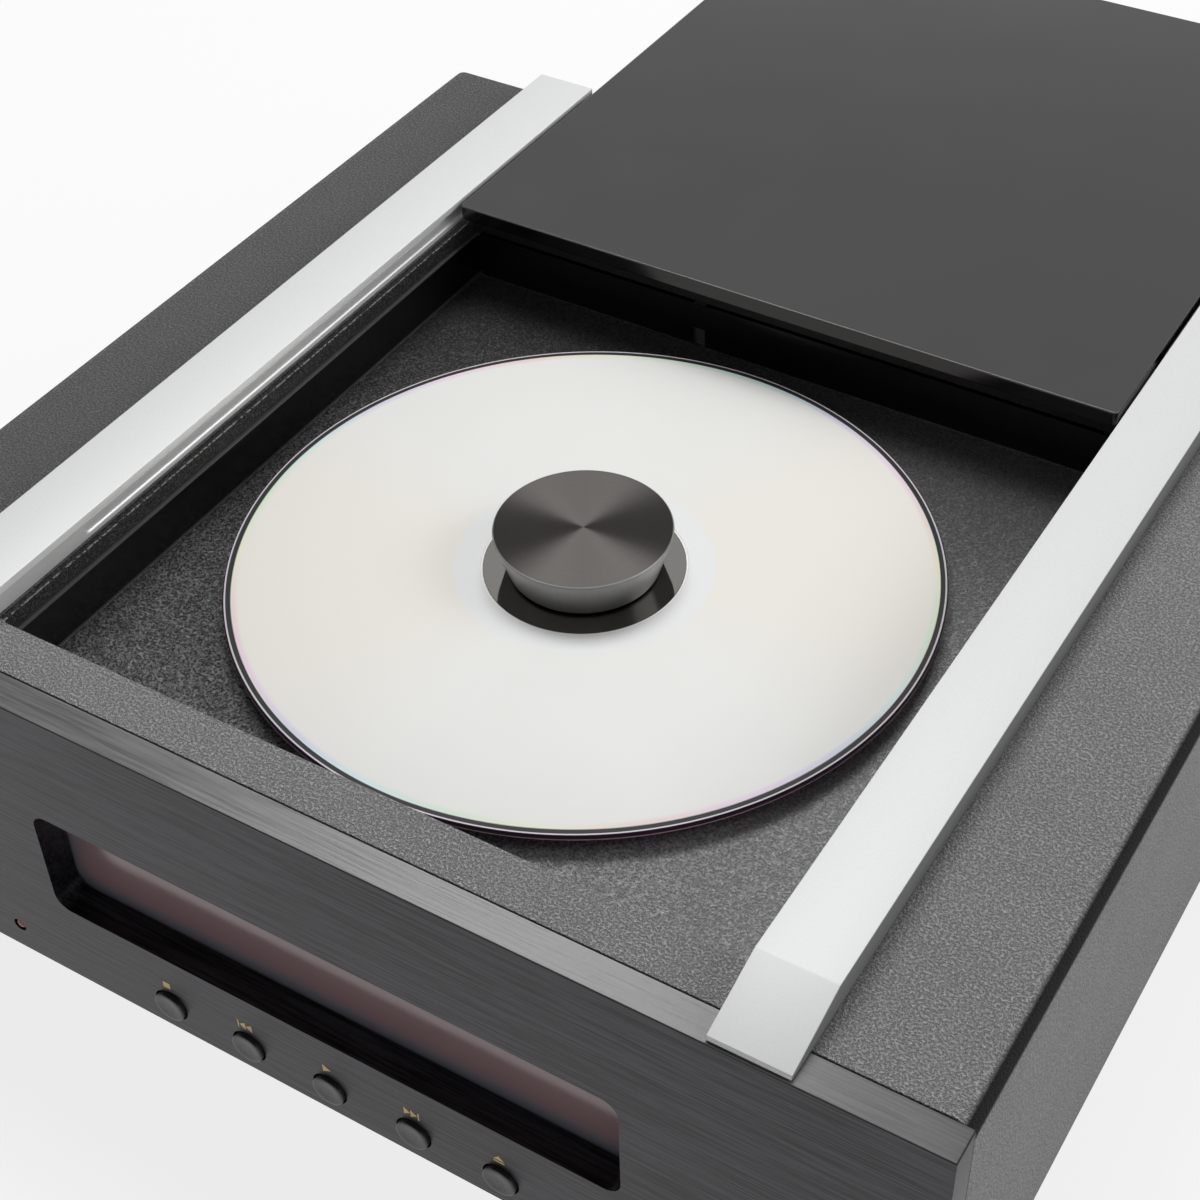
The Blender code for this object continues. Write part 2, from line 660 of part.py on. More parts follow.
# Rails, lid and what guides it

def rail(name, side):
    """Bright rail on studs, with a ramp at its front and the lid's groove along its inner face."""
    low = COVER_TOP_Z + GAP
    front = FRONT_Y + GAP
    crease = SPINDLE_Y - RAIL_CREASE_TO_SPINDLE
    rear = REAR_Y - GAP
    outline = [(front, low), (rear, low), (rear, RAIL_TOP_Z), (crease, RAIL_TOP_Z),
               (front, COVER_TOP_Z + RAIL_FRONT_HEIGHT)]
    middle_x = side * (RAIL_INNER_X + RAIL_WIDTH / 2)
    piece = extruded(name, [outline], RAIL_WIDTH, (middle_x, 0, 0), FACING_SIDE, RAIL_SILVER)
    radius = GROOVE_HEIGHT / 2
    groove = rectangle((GROOVE_FRONT_Y, GROOVE_TOP_Z - GROOVE_HEIGHT), (GROOVE_REAR_Y, GROOVE_TOP_Z),
                       radius * GROOVE_ROUNDING_SHARE)
    tool = extruded(name + "_groove_cut", [groove], GROOVE_DEPTH * 2,
                    (side * RAIL_INNER_X, 0, 0), FACING_SIDE, collection=CUTTERS)
    combine(piece, tool)
    for x, y in rail_stud_places():
        if x * side > 0:
            grow(piece, PIN_RADIUS, COVER_THICKNESS + RAIL_HEIGHT / 2 + PIN_RADIUS,
                 (x, y, COVER_UNDER_Z - PIN_RADIUS))
    return piece


GROOVE_TOP_Z = RAIL_TOP_Z - GROOVE_TOP_LAND
GROOVE_FRONT_Y = SPINDLE_Y - GROOVE_FRONT_TO_SPINDLE
GROOVE_REAR_Y = SPINDLE_Y + LID_OPEN_FRONT + RUNNER_SETBACK + RUNNER_LENGTH + GAP


def lid():
    """Flat smoked lid between the rails, flush with their tops, standing open."""
    half = RAIL_INNER_X - LID_SIDE_GAP
    front = SPINDLE_Y + LID_OPEN_FRONT
    outline = rectangle((-half, front), (half, front + LID_LENGTH), LID_CORNER_RADIUS)
    piece = extruded("lid", [outline], LID_THICKNESS, (0, 0, RAIL_TOP_Z - LID_THICKNESS / 2),
                     material=LID_SMOKE)
    return round_edges(piece, LID_EDGE, 1)


LID_UNDER_Z = RAIL_TOP_Z - LID_THICKNESS


def lid_runner(name, side):
    """Slider under the lid's edge with a tongue that runs in the rail's groove."""
    front = SPINDLE_Y + LID_OPEN_FRONT + RUNNER_SETBACK
    face = RAIL_INNER_X - GAP
    neck = RAIL_INNER_X - LID_SIDE_GAP + GAP
    inside = neck - RUNNER_WIDTH
    low = COVER_TOP_Z + GAP
    tongue_low = GROOVE_TOP_Z - GROOVE_HEIGHT + GAP
    tongue_top = GROOVE_TOP_Z - GAP
    tongue_end = RAIL_INNER_X + GROOVE_DEPTH - GAP
    outline = [(inside, low), (face, low), (face, tongue_low), (tongue_end, tongue_low),
               (tongue_end, tongue_top), (neck, tongue_top), (neck, LID_UNDER_Z - GAP),
               (inside, LID_UNDER_Z - GAP)]
    outline = [(side * across, up) for across, up in outline]
    return extruded(name, [outline], RUNNER_LENGTH, (0, front + RUNNER_LENGTH / 2, 0),
                    FACING_FRONT, PLASTIC)


def lid_magnet():
    """Small magnet under the lid's left edge, in front of the slider."""
    rear = SPINDLE_Y + LID_OPEN_FRONT + RUNNER_SETBACK - GAP
    outer = -(RAIL_INNER_X - LID_SIDE_GAP)
    return box("lid_magnet", (outer, rear - LID_MAGNET_LENGTH, COVER_TOP_Z + GAP),
               (outer + RUNNER_WIDTH, rear, LID_UNDER_Z - GAP), MAGNET)


def lid_sensor():
    """Switch under the cover that the magnet works when the lid is shut."""
    y = SPINDLE_Y + LID_OPEN_FRONT - LID_TRAVEL + RUNNER_SETBACK - LID_MAGNET_LENGTH / 2
    x = -(WELL_HALF_WIDTH + WELL_WALL + WELL_FLANGE + SENSOR_SIZE[0])
    top = COVER_UNDER_Z - GAP
    return box("lid_sensor", (x - SENSOR_SIZE[0] / 2, y - SENSOR_SIZE[1] / 2, top - SENSOR_SIZE[2]),
               (x + SENSOR_SIZE[0] / 2, y + SENSOR_SIZE[1] / 2, top), PLASTIC)


# Well, disc and puck

def disc_well():
    """Moulded tray under the cover's opening, open under the hub and along the laser's way."""
    outer_x = WELL_HALF_WIDTH + WELL_WALL
    front = SPINDLE_Y - WELL_FRONT - WELL_WALL
    rear = SPINDLE_Y + WELL_REAR + WELL_WALL
    top = COVER_UNDER_Z - GAP
    well = box("disc_well", (-outer_x, front, WELL_UNDER_Z), (outer_x, rear, top), WELL_BLACK)
    flange = box("well_flange_cut", (-outer_x - WELL_FLANGE, front - WELL_FLANGE, top - WELL_WALL),
                 (outer_x + WELL_FLANGE, rear + WELL_FLANGE, top), collection=CUTTERS)
    combine(well, flange, "UNION")
    cut_box(well, (-WELL_HALF_WIDTH, SPINDLE_Y - WELL_FRONT, WELL_FLOOR_Z),
            (WELL_HALF_WIDTH, SPINDLE_Y + WELL_REAR, top + CUT_OVERRUN))
    bore(well, WELL_HUB_HOLE_RADIUS, WELL_WALL + CUT_OVERRUN * 2,
         (0, SPINDLE_Y, WELL_UNDER_Z - CUT_OVERRUN), steps=ROUND_STEPS)
    cut_box(well, (-LASER_SLOT_HALF_WIDTH, SPINDLE_Y, WELL_UNDER_Z - CUT_OVERRUN),
            (LASER_SLOT_HALF_WIDTH, LENS_SLOT_REAR_Y, WELL_FLOOR_Z + CUT_OVERRUN))
    cut_box(well, (WELL_MARK_X - WELL_MARK_WIDTH / 2, SPINDLE_Y + WELL_REAR - CUT_OVERRUN, WELL_FLOOR_Z),
            (WELL_MARK_X + WELL_MARK_WIDTH / 2, SPINDLE_Y + WELL_REAR + WELL_MARK_DEPTH,
             WELL_FLOOR_Z + WELL_MARK_HEIGHT))
    return well


LENS_SLOT_REAR_Y = SPINDLE_Y + SLED_INNER_REACH + SLED_TRAVEL + LENS_RADIUS + GAP * 2


def disc():
    """The disc, a flat ring lying on the turntable."""
    low = DISC_TOP_Z - DISC_THICKNESS
    edge = DISC_EDGE_RADIUS
    profile = [(DISC_HOLE_RADIUS, DISC_THICKNESS), (DISC_RADIUS - edge, DISC_THICKNESS),
               (DISC_RADIUS, DISC_THICKNESS - edge), (DISC_RADIUS, edge), (DISC_RADIUS - edge, 0),
               (DISC_HOLE_RADIUS, 0)]
    piece = turned("disc", profile, (0, SPINDLE_Y, low), steps=FINE_STEPS, material=DISC_WHITE,
                   closed=True)
    return smooth_round(piece)


def puck():
    """Turned weight, wider at its top, with a magnet's recess in its underside."""
    recess = MAGNET_THICKNESS + GAP * 2
    profile = [(0, PUCK_HEIGHT), (PUCK_TOP_RADIUS - PUCK_RIM, PUCK_HEIGHT),
               (PUCK_TOP_RADIUS, PUCK_HEIGHT - PUCK_RIM), (PUCK_BASE_RADIUS, PUCK_RIM),
               (PUCK_BASE_RADIUS - PUCK_RIM, 0), (MAGNET_RADIUS + GAP, 0),
               (MAGNET_RADIUS + GAP, recess), (0, recess)]
    piece = turned("puck", profile, (0, SPINDLE_Y, DISC_TOP_Z + GAP), steps=FINE_STEPS,
                   material=PUCK_DARK)
    return smooth_round(piece)


def puck_magnet():
    """Round magnet in the puck's underside."""
    profile = [(0, MAGNET_THICKNESS), (MAGNET_RADIUS, MAGNET_THICKNESS), (MAGNET_RADIUS, 0), (0, 0)]
    piece = turned("puck_magnet", profile, (0, SPINDLE_Y, DISC_TOP_Z + GAP * 2),
                   steps=MEDIUM_STEPS, material=MAGNET)
    return smooth_round(piece)


# Turntable

HUB_TOP_Z = DISC_TOP_Z - GAP
RING_TOP_Z = DISC_TOP_Z - DISC_THICKNESS - GAP
HUB_FLANGE_Z = RING_TOP_Z - RING_THICKNESS - GAP
HUB_LOW_Z = PLATE_TOP_Z + HUB_LIFT


def turntable_hub():
    """Hub with a cone that centres the disc."""
    hole = SHAFT_RADIUS + GAP
    profile = [(HUB_CONE_TOP_RADIUS, HUB_TOP_Z - HUB_LOW_Z),
               (HUB_CONE_BASE_RADIUS, RING_TOP_Z - HUB_LOW_Z),
               (HUB_CONE_BASE_RADIUS, HUB_FLANGE_Z - HUB_LOW_Z), (HUB_RADIUS, HUB_FLANGE_Z - HUB_LOW_Z),
               (HUB_RADIUS, 0), (hole, 0), (hole, HUB_TOP_Z - HUB_LOW_Z)]
    piece = turned("turntable_hub", profile, (0, SPINDLE_Y, HUB_LOW_Z), material=WHITE_PLASTIC,
                   closed=True)
    return smooth_round(piece)


def friction_ring():
    """Rubber ring on the hub that the disc lies on."""
    outer = HUB_RADIUS - GAP
    profile = [(outer, RING_THICKNESS), (outer, 0), (RING_INNER_RADIUS, 0),
               (RING_INNER_RADIUS, RING_THICKNESS)]
    piece = turned("friction_ring", profile, (0, SPINDLE_Y, RING_TOP_Z - RING_THICKNESS),
                   steps=MEDIUM_STEPS, material=RUBBER, closed=True)
    return smooth_round(piece)


def spindle_shaft():
    """Steel shaft from the motor up into the hub."""
    low = PLATE_UNDER_Z - GAP - MOTOR_HEIGHT - SHAFT_TAIL
    length = HUB_TOP_Z - GAP - low
    profile = [(0, length), (SHAFT_RADIUS, length), (SHAFT_RADIUS, 0), (0, 0)]
    piece = turned("spindle_shaft", profile, (0, SPINDLE_Y, low), steps=MEDIUM_STEPS, material=STEEL)
    return smooth_round(piece)


def spindle_motor():
    """Flat motor under the mechanism plate, bored for the shaft."""
    low = PLATE_UNDER_Z - GAP - MOTOR_HEIGHT
    hole = SHAFT_RADIUS + RUNNING_GAP
    profile = [(MOTOR_RADIUS, MOTOR_HEIGHT), (MOTOR_RADIUS, 0), (hole, 0), (hole, MOTOR_HEIGHT)]
    piece = turned("spindle_motor", profile, (0, SPINDLE_Y, low), steps=MEDIUM_STEPS, material=ZINC,
                   closed=True)
    return smooth_round(piece)


# Drive under the well

def post_places():
    """Corners of the mechanism plate where its posts stand."""
    front = SPINDLE_Y - MECHANISM_FRONT + POST_INSET
    rear = SPINDLE_Y + MECHANISM_REAR - POST_INSET
    return [(side * POST_X, y) for side in (-1, 1) for y in (front, rear)]


def mechanism_plate():
    """Cast plate with blocks for the sled's rods and feed screw, and a window for the sled."""
    low = (-MECHANISM_HALF_WIDTH, SPINDLE_Y - MECHANISM_FRONT)
    high = (MECHANISM_HALF_WIDTH, SPINDLE_Y + MECHANISM_REAR)
    room = TOWER_HALF_WIDTH + ROD_RADIUS
    window_front = SPINDLE_Y + SLED_INNER_REACH - SLED_HALF_LENGTH
    window_rear = SPINDLE_Y + SLED_INNER_REACH + SLED_TRAVEL + SLED_HALF_LENGTH
    outlines = [rectangle(low, high, MECHANISM_CORNER_RADIUS),
                rectangle((-room, window_front), (room, window_rear), ROD_RADIUS),
                circle(0, SPINDLE_Y, HUB_RADIUS * PLATE_SHAFT_HOLE_SHARE)]
    for x, y in post_places():
        outlines.append(circle(x, y, PIN_RADIUS + GAP))
    plate = extruded("mechanism_plate", outlines, MECHANISM_THICKNESS,
                     (0, 0, PLATE_TOP_Z - MECHANISM_THICKNESS / 2), material=ZINC)
    low = ROD_Z - CLIP_HALF_WIDTH
    front = ROD_FRONT_Y
    rear = ROD_REAR_Y - CLIP_LENGTH
    for x, hole, ends in ((ROD_LEFT_X, ROD_RADIUS + GAP, (front, rear)),
                          (ROD_RIGHT_X, ROD_RADIUS + GAP, (front, rear)),
                          (SCREW_AXIS_X, ROD_RADIUS + RUNNING_GAP, (rear,))):
        for y in ends:
            grow_box(plate, (x - CLIP_HALF_WIDTH, y, low),
                     (x + CLIP_HALF_WIDTH, y + CLIP_LENGTH, PLATE_TOP_Z - MECHANISM_THICKNESS / 2))
            bore(plate, hole, CLIP_LENGTH + CUT_OVERRUN * 2, (x, y - CUT_OVERRUN, ROD_Z), FACING_REAR,
                 ROUND_STEPS)
    return smooth_round(plate)


DAMPER_LOW_Z = PLATE_UNDER_Z - GAP - DAMPER_HEIGHT


def mechanism_damper(name, x, y):
    """Rubber buffer between a post and the plate, with a stud at each end."""
    top_stud = DAMPER_HEIGHT + GAP + MECHANISM_THICKNESS + PIN_RADIUS
    profile = [(0, top_stud), (PIN_RADIUS, top_stud), (PIN_RADIUS, DAMPER_HEIGHT),
               (DAMPER_RADIUS, DAMPER_HEIGHT), (DAMPER_RADIUS, 0), (PIN_RADIUS, 0),
               (PIN_RADIUS, -DAMPER_STUD), (0, -DAMPER_STUD)]
    piece = turned(name, profile, (x, y, DAMPER_LOW_Z), steps=SMALL_STEPS, material=RUBBER)
    return smooth_round(piece)


def guide_rod(name, x):
    """Ground steel rod that the sled slides on."""
    return smooth_round(cylinder(name, ROD_RADIUS, ROD_REAR_Y - ROD_FRONT_Y, (x, ROD_FRONT_Y, ROD_Z),
                                 FACING_REAR, ROUND_STEPS, PARTS, STEEL))


def laser_sled():
    """Block that slides on both rods and the feed screw, with a tower for the lens."""
    y = SPINDLE_Y + SLED_INNER_REACH
    top = ROD_Z + SLED_HEIGHT / 2
    sled = box("laser_sled", (ROD_LEFT_X - SLED_OVERHANG, y - SLED_HALF_LENGTH, ROD_Z - SLED_HEIGHT / 2),
               (SCREW_AXIS_X + SLED_OVERHANG, y + SLED_HALF_LENGTH, top), PLASTIC)
    tower = box("sled_tower_cut", (-TOWER_HALF_WIDTH, y - TOWER_HALF_LENGTH, ROD_Z),
                (TOWER_HALF_WIDTH, y + TOWER_HALF_LENGTH, TOWER_TOP_Z), collection=CUTTERS)
    combine(sled, tower, "UNION")
    for x in (ROD_LEFT_X, ROD_RIGHT_X, SCREW_AXIS_X):
        bore(sled, ROD_RADIUS + RUNNING_GAP, SLED_HALF_LENGTH * 2 + CUT_OVERRUN * 2,
             (x, y - SLED_HALF_LENGTH - CUT_OVERRUN, ROD_Z), FACING_REAR, ROUND_STEPS)
    return sled


LENS_TOP_Z = DISC_TOP_Z - DISC_THICKNESS - LENS_BELOW_DISC
TOWER_TOP_Z = LENS_TOP_Z - LENS_HEIGHT - LENS_FOCUS - GAP


def objective_lens():
    """Lens in its round holder, which floats on the tower to focus."""
    dome = LENS_RADIUS * LENS_DOME_SHARE
    profile = [(0, LENS_HEIGHT), (dome, LENS_HEIGHT), (LENS_RADIUS, LENS_HEIGHT - BUTTON_EDGE),
               (LENS_RADIUS, 0), (0, 0)]
    piece = turned("objective_lens", profile, (0, SPINDLE_Y + SLED_INNER_REACH, LENS_TOP_Z - LENS_HEIGHT),
                   material=GLASS, steps=MEDIUM_STEPS)
    return smooth_round(piece)


FEED_MOTOR_REAR_Y = ROD_FRONT_Y - GAP
FEED_MOTOR_RADIUS = ROD_BELOW_PLATE - GAP


def feed_motor():
    """Small motor lying under the plate, which turns the feed screw."""
    hole = ROD_RADIUS + RUNNING_GAP
    profile = [(FEED_MOTOR_RADIUS, FEED_MOTOR_LENGTH), (FEED_MOTOR_RADIUS, 0), (hole, 0),
               (hole, FEED_MOTOR_LENGTH)]
    place = (SCREW_AXIS_X, FEED_MOTOR_REAR_Y - FEED_MOTOR_LENGTH, ROD_Z)
    piece = turned("feed_motor", profile, place, FACING_REAR, MEDIUM_STEPS, ZINC, closed=True)
    return smooth_round(piece)


def feed_screw():
    """Screw that drives the sled, from inside its motor to the rear block."""
    front = FEED_MOTOR_REAR_Y - FEED_MOTOR_LENGTH * FEED_SCREW_INSIDE_MOTOR_SHARE
    return smooth_round(cylinder("feed_screw", ROD_RADIUS, ROD_REAR_Y - front,
                                 (SCREW_AXIS_X, front, ROD_Z), FACING_REAR, ROUND_STEPS, PARTS, BRASS))


# Front controls and display

def display_window():
    """Smoked sheet behind the opening of the front panel."""
    low = (-WINDOW_HALF_WIDTH - WINDOW_MARGIN, PANEL_BACK_Y + GAP, WINDOW_LOW_Z - WINDOW_MARGIN)
    high = (WINDOW_HALF_WIDTH + WINDOW_MARGIN, PANEL_BACK_Y + GAP + WINDOW_SHEET,
            WINDOW_TOP_Z + WINDOW_MARGIN)
    return box("display_window", low, high, WINDOW_SMOKE)


def display_module():
    """Lit display between the window and the front board."""
    front = PANEL_BACK_Y + GAP * 2 + WINDOW_SHEET
    sensor = REMOTE_SENSOR_SIZE[0]
    return box("display_module", (-WINDOW_HALF_WIDTH + DISPLAY_END_INSET, front,
                                  WINDOW_LOW_Z + DISPLAY_EDGE_INSET),
               (WINDOW_HALF_WIDTH - DISPLAY_END_INSET - sensor, FRONT_BOARD_Y - GAP,
                WINDOW_TOP_Z - DISPLAY_EDGE_INSET), RED_GLASS)


def remote_sensor():
    """Receiver for the remote control, beside the display."""
    rear = FRONT_BOARD_Y - GAP
    middle = (WINDOW_LOW_Z + WINDOW_TOP_Z) / 2
    low_x = WINDOW_HALF_WIDTH - DISPLAY_END_INSET - REMOTE_SENSOR_SIZE[0] + GAP
    high = (low_x + REMOTE_SENSOR_SIZE[0], rear, middle + REMOTE_SENSOR_SIZE[2] / 2)
    return box("remote_sensor", (low_x, rear - REMOTE_SENSOR_SIZE[1], middle - REMOTE_SENSOR_SIZE[2] / 2),
               high, PLASTIC)


def front_board():
    """Upright board that carries the display, with a push switch soldered on behind each button."""
    top = COVER_TOP_Z - FRONT_BOARD_TOP_BELOW_COVER
    outlines = [rectangle((-FRONT_BOARD_HALF_WIDTH, top - FRONT_BOARD_HEIGHT),
                          (FRONT_BOARD_HALF_WIDTH, top))]
    for x, z in board_post_places():
        outlines.append(circle(x, z, PIN_RADIUS + GAP))
    board = extruded("front_board", outlines, BOARD_THICKNESS,
                     (0, FRONT_BOARD_Y + BOARD_THICKNESS / 2, 0), FACING_FRONT, CIRCUIT_GREEN)
    half = SWITCH_BODY / 2
    inside_y = FRONT_BOARD_Y + BOARD_THICKNESS / 2
    for x in button_xs():
        grow_box(board, (x - half, SWITCH_FRONT_Y, BUTTON_Z - half), (x + half, inside_y, BUTTON_Z + half))
        grow(board, BUTTON_STEM_RADIUS, SWITCH_PLUNGER + SWITCH_DEPTH / 2,
             (x, SWITCH_FRONT_Y + SWITCH_DEPTH / 2, BUTTON_Z), FACING_FRONT)
    return smooth_round(board)


def board_post_places():
    """Places across and up of the posts between the front panel and its board."""
    top = COVER_TOP_Z - FRONT_BOARD_TOP_BELOW_COVER - STANDOFF_INSET
    x = FRONT_BOARD_HALF_WIDTH - STANDOFF_INSET
    return [(side * x, z) for side in (-1, 1) for z in (top, WINDOW_LOW_Z - STANDOFF_INSET)]


def front_button(name, x):
    """Round button through the panel, with a flange behind it and a stem to its switch."""
    flange = -PANEL_THICKNESS - GAP
    stem_end = FRONT_Y - SWITCH_FRONT_Y + SWITCH_PLUNGER + BUTTON_TRAVEL + GAP
    profile = [(0, BUTTON_STAND), (BUTTON_RADIUS - BUTTON_EDGE, BUTTON_STAND),
               (BUTTON_RADIUS, BUTTON_STAND - BUTTON_EDGE), (BUTTON_RADIUS, flange),
               (BUTTON_FLANGE_RADIUS, flange), (BUTTON_FLANGE_RADIUS, flange - BUTTON_FLANGE),
               (BUTTON_STEM_RADIUS, flange - BUTTON_FLANGE), (BUTTON_STEM_RADIUS, stem_end),
               (0, stem_end)]
    piece = turned(name, profile, (x, FRONT_Y, BUTTON_Z), FACING_FRONT, MEDIUM_STEPS, BUTTON_BLACK)
    return smooth_round(piece)


def power_light():
    """Short light rod through the panel beside the power button."""
    return smooth_round(cylinder("power_light", POWER_LIGHT_RADIUS, PANEL_THICKNESS + BUTTON_FLANGE,
                                 (POWER_LIGHT_X, PANEL_BACK_Y + BUTTON_FLANGE, BUTTON_Z),
                                 FACING_FRONT, SMALL_STEPS, PARTS, WHITE_PLASTIC))


# Rear boards and sockets

def standoff_places():
    """Corners of the main board where it stands."""
    x = MAIN_BOARD_HALF_WIDTH - STANDOFF_INSET
    return [(side * x, y) for side in (-1, 1)
            for y in (MAIN_BOARD_FRONT_Y + STANDOFF_INSET, MAIN_BOARD_REAR_Y - STANDOFF_INSET)]


def main_board():
    """Board with its soldered capacitors and circuit packages, which carries the sockets."""
    outlines = [rectangle((-MAIN_BOARD_HALF_WIDTH, MAIN_BOARD_FRONT_Y),
                          (MAIN_BOARD_HALF_WIDTH, MAIN_BOARD_REAR_Y))]
    for x, y in standoff_places():
        outlines.append(circle(x, y, PIN_RADIUS + GAP))
    board = extruded("main_board", outlines, BOARD_THICKNESS,
                     (0, 0, MAIN_BOARD_Z + BOARD_THICKNESS / 2), material=CIRCUIT_GREEN)
    inside_z = MAIN_BOARD_Z + BOARD_THICKNESS / 2
    y = (MAIN_BOARD_FRONT_Y + MAIN_BOARD_REAR_Y) / 2
    for share in CAPACITOR_SHARES:
        grow(board, CAPACITOR_RADIUS, MAIN_BOARD_TOP_Z + CAPACITOR_HEIGHT - inside_z,
             (INLET_X + SOCKET_BODY[0] * share, y, inside_z))
    half = CHIP_SIZE[0] / 2
    for share in CHIP_SHARES:
        x = CHIP_SIZE[0] * share
        grow_box(board, (x - half, y - half, inside_z),
                 (x + half, y + CHIP_SIZE[1] - half, MAIN_BOARD_TOP_Z + CHIP_SIZE[2]))
    return smooth_round(board)


CAPACITOR_SHARES = (0, 1, 2, 3.5)
CHIP_SHARES = (-1.5, 0, 2.2)


def socket_block(name, x, nose_radius, nose_end_y, bore_radius, bore_depth, material):
    """Socket on the main board: a block with a round nose through the rear panel."""
    low_z = MAIN_BOARD_TOP_Z + GAP
    rear = REAR_PANEL_INNER_Y - GAP
    half = SOCKET_BODY[0] / 2
    body = box(name, (x - half, rear - SOCKET_BODY[1], low_z), (x + half, rear, low_z + SOCKET_BODY[2]),
               material)
    nose_start = rear - SOCKET_BODY[1] / 2
    nose = cylinder(name + "_nose_cut", nose_radius, nose_end_y - nose_start,
                    (x, nose_start, SOCKET_Z), FACING_REAR, ROUND_STEPS)
    combine(body, nose, "UNION")
    bore(body, bore_radius, bore_depth + CUT_OVERRUN, (x, nose_end_y + CUT_OVERRUN, SOCKET_Z),
         FACING_FRONT, ROUND_STEPS)
    return body


def power_inlet():
    """Low-voltage inlet, flush with the rear panel, with a pin in its middle."""
    body = socket_block("power_inlet", INLET_X, INLET_RADIUS, REAR_Y, INLET_BORE_RADIUS,
                        INLET_BORE_DEPTH, PLASTIC)
    start = REAR_Y - INLET_BORE_DEPTH - CUT_OVERRUN
    pin = cylinder("inlet_pin_cut", INLET_PIN_RADIUS, INLET_BORE_DEPTH, (INLET_X, start, SOCKET_Z),
                   FACING_REAR)
    return smooth_round(combine(body, pin, "UNION"))


def ribbon():
    """Flat ribbon along the pan between the two boards, with a plug at each end."""
    front = FRONT_BOARD_Y + BOARD_THICKNESS + GAP + PLUG_SIZE[1] / 2
    rear = MAIN_BOARD_FRONT_Y - PLUG_SIZE[1]
    low = PAN_TOP_Z + RIBBON_LIFT
    lift = RIBBON_RISE
    top = MAIN_BOARD_TOP_Z + GAP + PLUG_SIZE[2] / 2
    bend = lift * RIBBON_BEND_SHARE
    path = [(front, low + lift), (front + bend, low + bend), (front + lift, low),
            (rear - lift, low), (rear - bend, low + bend), (rear, low + lift),
            (rear, top - lift * RIBBON_CREST_SHARE), (rear + bend, top - lift * RIBBON_EASE_SHARE),
            (RIBBON_END_Y, top)]
    mesh = bpy.data.meshes.new("ribbon")
    half = RIBBON_WIDTH / 2
    points = [(side * half, y, z) for y, z in path for side in (-1, 1)]
    faces = [(i * 2, i * 2 + 1, i * 2 + 3, i * 2 + 2) for i in range(len(path) - 1)]
    mesh.from_pydata(points, [], faces)
    item = paint(add_object("ribbon", mesh, (0, 0, 0), UPRIGHT, PARTS), RIBBON_GREY)
    sheet = item.modifiers.new("thickness", "SOLIDIFY")
    sheet.thickness = RIBBON_THICKNESS
    sheet.offset = 0
    wide = PLUG_SIZE[0] / 2
    plug_front = FRONT_BOARD_Y + BOARD_THICKNESS + GAP
    plug_low = low + lift / 2
    grow_box(item, (-wide, plug_front, plug_low), (wide, plug_front + PLUG_SIZE[1], plug_low + PLUG_SIZE[2]))
    plug_front = MAIN_BOARD_FRONT_Y + PLUG_SIZE[1]
    plug_low = MAIN_BOARD_TOP_Z + GAP
    grow_box(item, (-wide, plug_front, plug_low), (wide, plug_front + PLUG_SIZE[1], plug_low + PLUG_SIZE[2]))
    return item


RIBBON_END_Y = MAIN_BOARD_FRONT_Y + PLUG_SIZE[1] * RIBBON_END_SHARE


# Feet and the screws of the case

def foot_places():
    """Places of the four feet."""
    front = PANEL_BACK_Y + FOOT_FRONT_INSET
    rear = REAR_Y - FOOT_REAR_INSET
    return [(side * FOOT_X, y) for side in (-1, 1) for y in (front, rear)]


def foot(name, x, y):
    """Round foot with a stud up through the pan."""
    height = PAN_BOTTOM_Z - GAP
    stud_top = PAN_TOP_Z + PIN_RADIUS
    profile = [(0, stud_top), (PIN_RADIUS, stud_top), (PIN_RADIUS, height), (FOOT_RADIUS, height),
               (FOOT_RADIUS, FOOT_EDGE), (FOOT_RADIUS - FOOT_EDGE, 0), (0, 0)]
    return smooth_round(turned(name, profile, (x, y, 0), steps=MEDIUM_STEPS, material=RUBBER))


def case_screws():
    """Alike screws sunk in the cover's sides, through the rear panel and into the front panel."""
    corners = ("left_front", "left_rear", "right_front", "right_rear")
    for corner, (side, y) in zip(corners, cover_screw_places()):
        seat = side * (CASE_WIDTH / 2 - SCREW_HEAD - GAP)
        screw("cover_screw_" + corner, (seat, y, COVER_SCREW_Z), (0, side * math.pi / 2, 0))
    for side, x in zip(("left", "right"), rear_screw_xs()):
        screw("rear_screw_" + side, (x, REAR_Y + GAP, REAR_SCREW_Z), FACING_REAR)
    for side, sign in (("left", -1), ("right", 1)):
        screw("front_screw_" + side,
              (sign * FRONT_TAB_X, PANEL_BACK_Y + GAP * 2 + PAN_THICKNESS, FRONT_SCREW_Z), FACING_REAR)


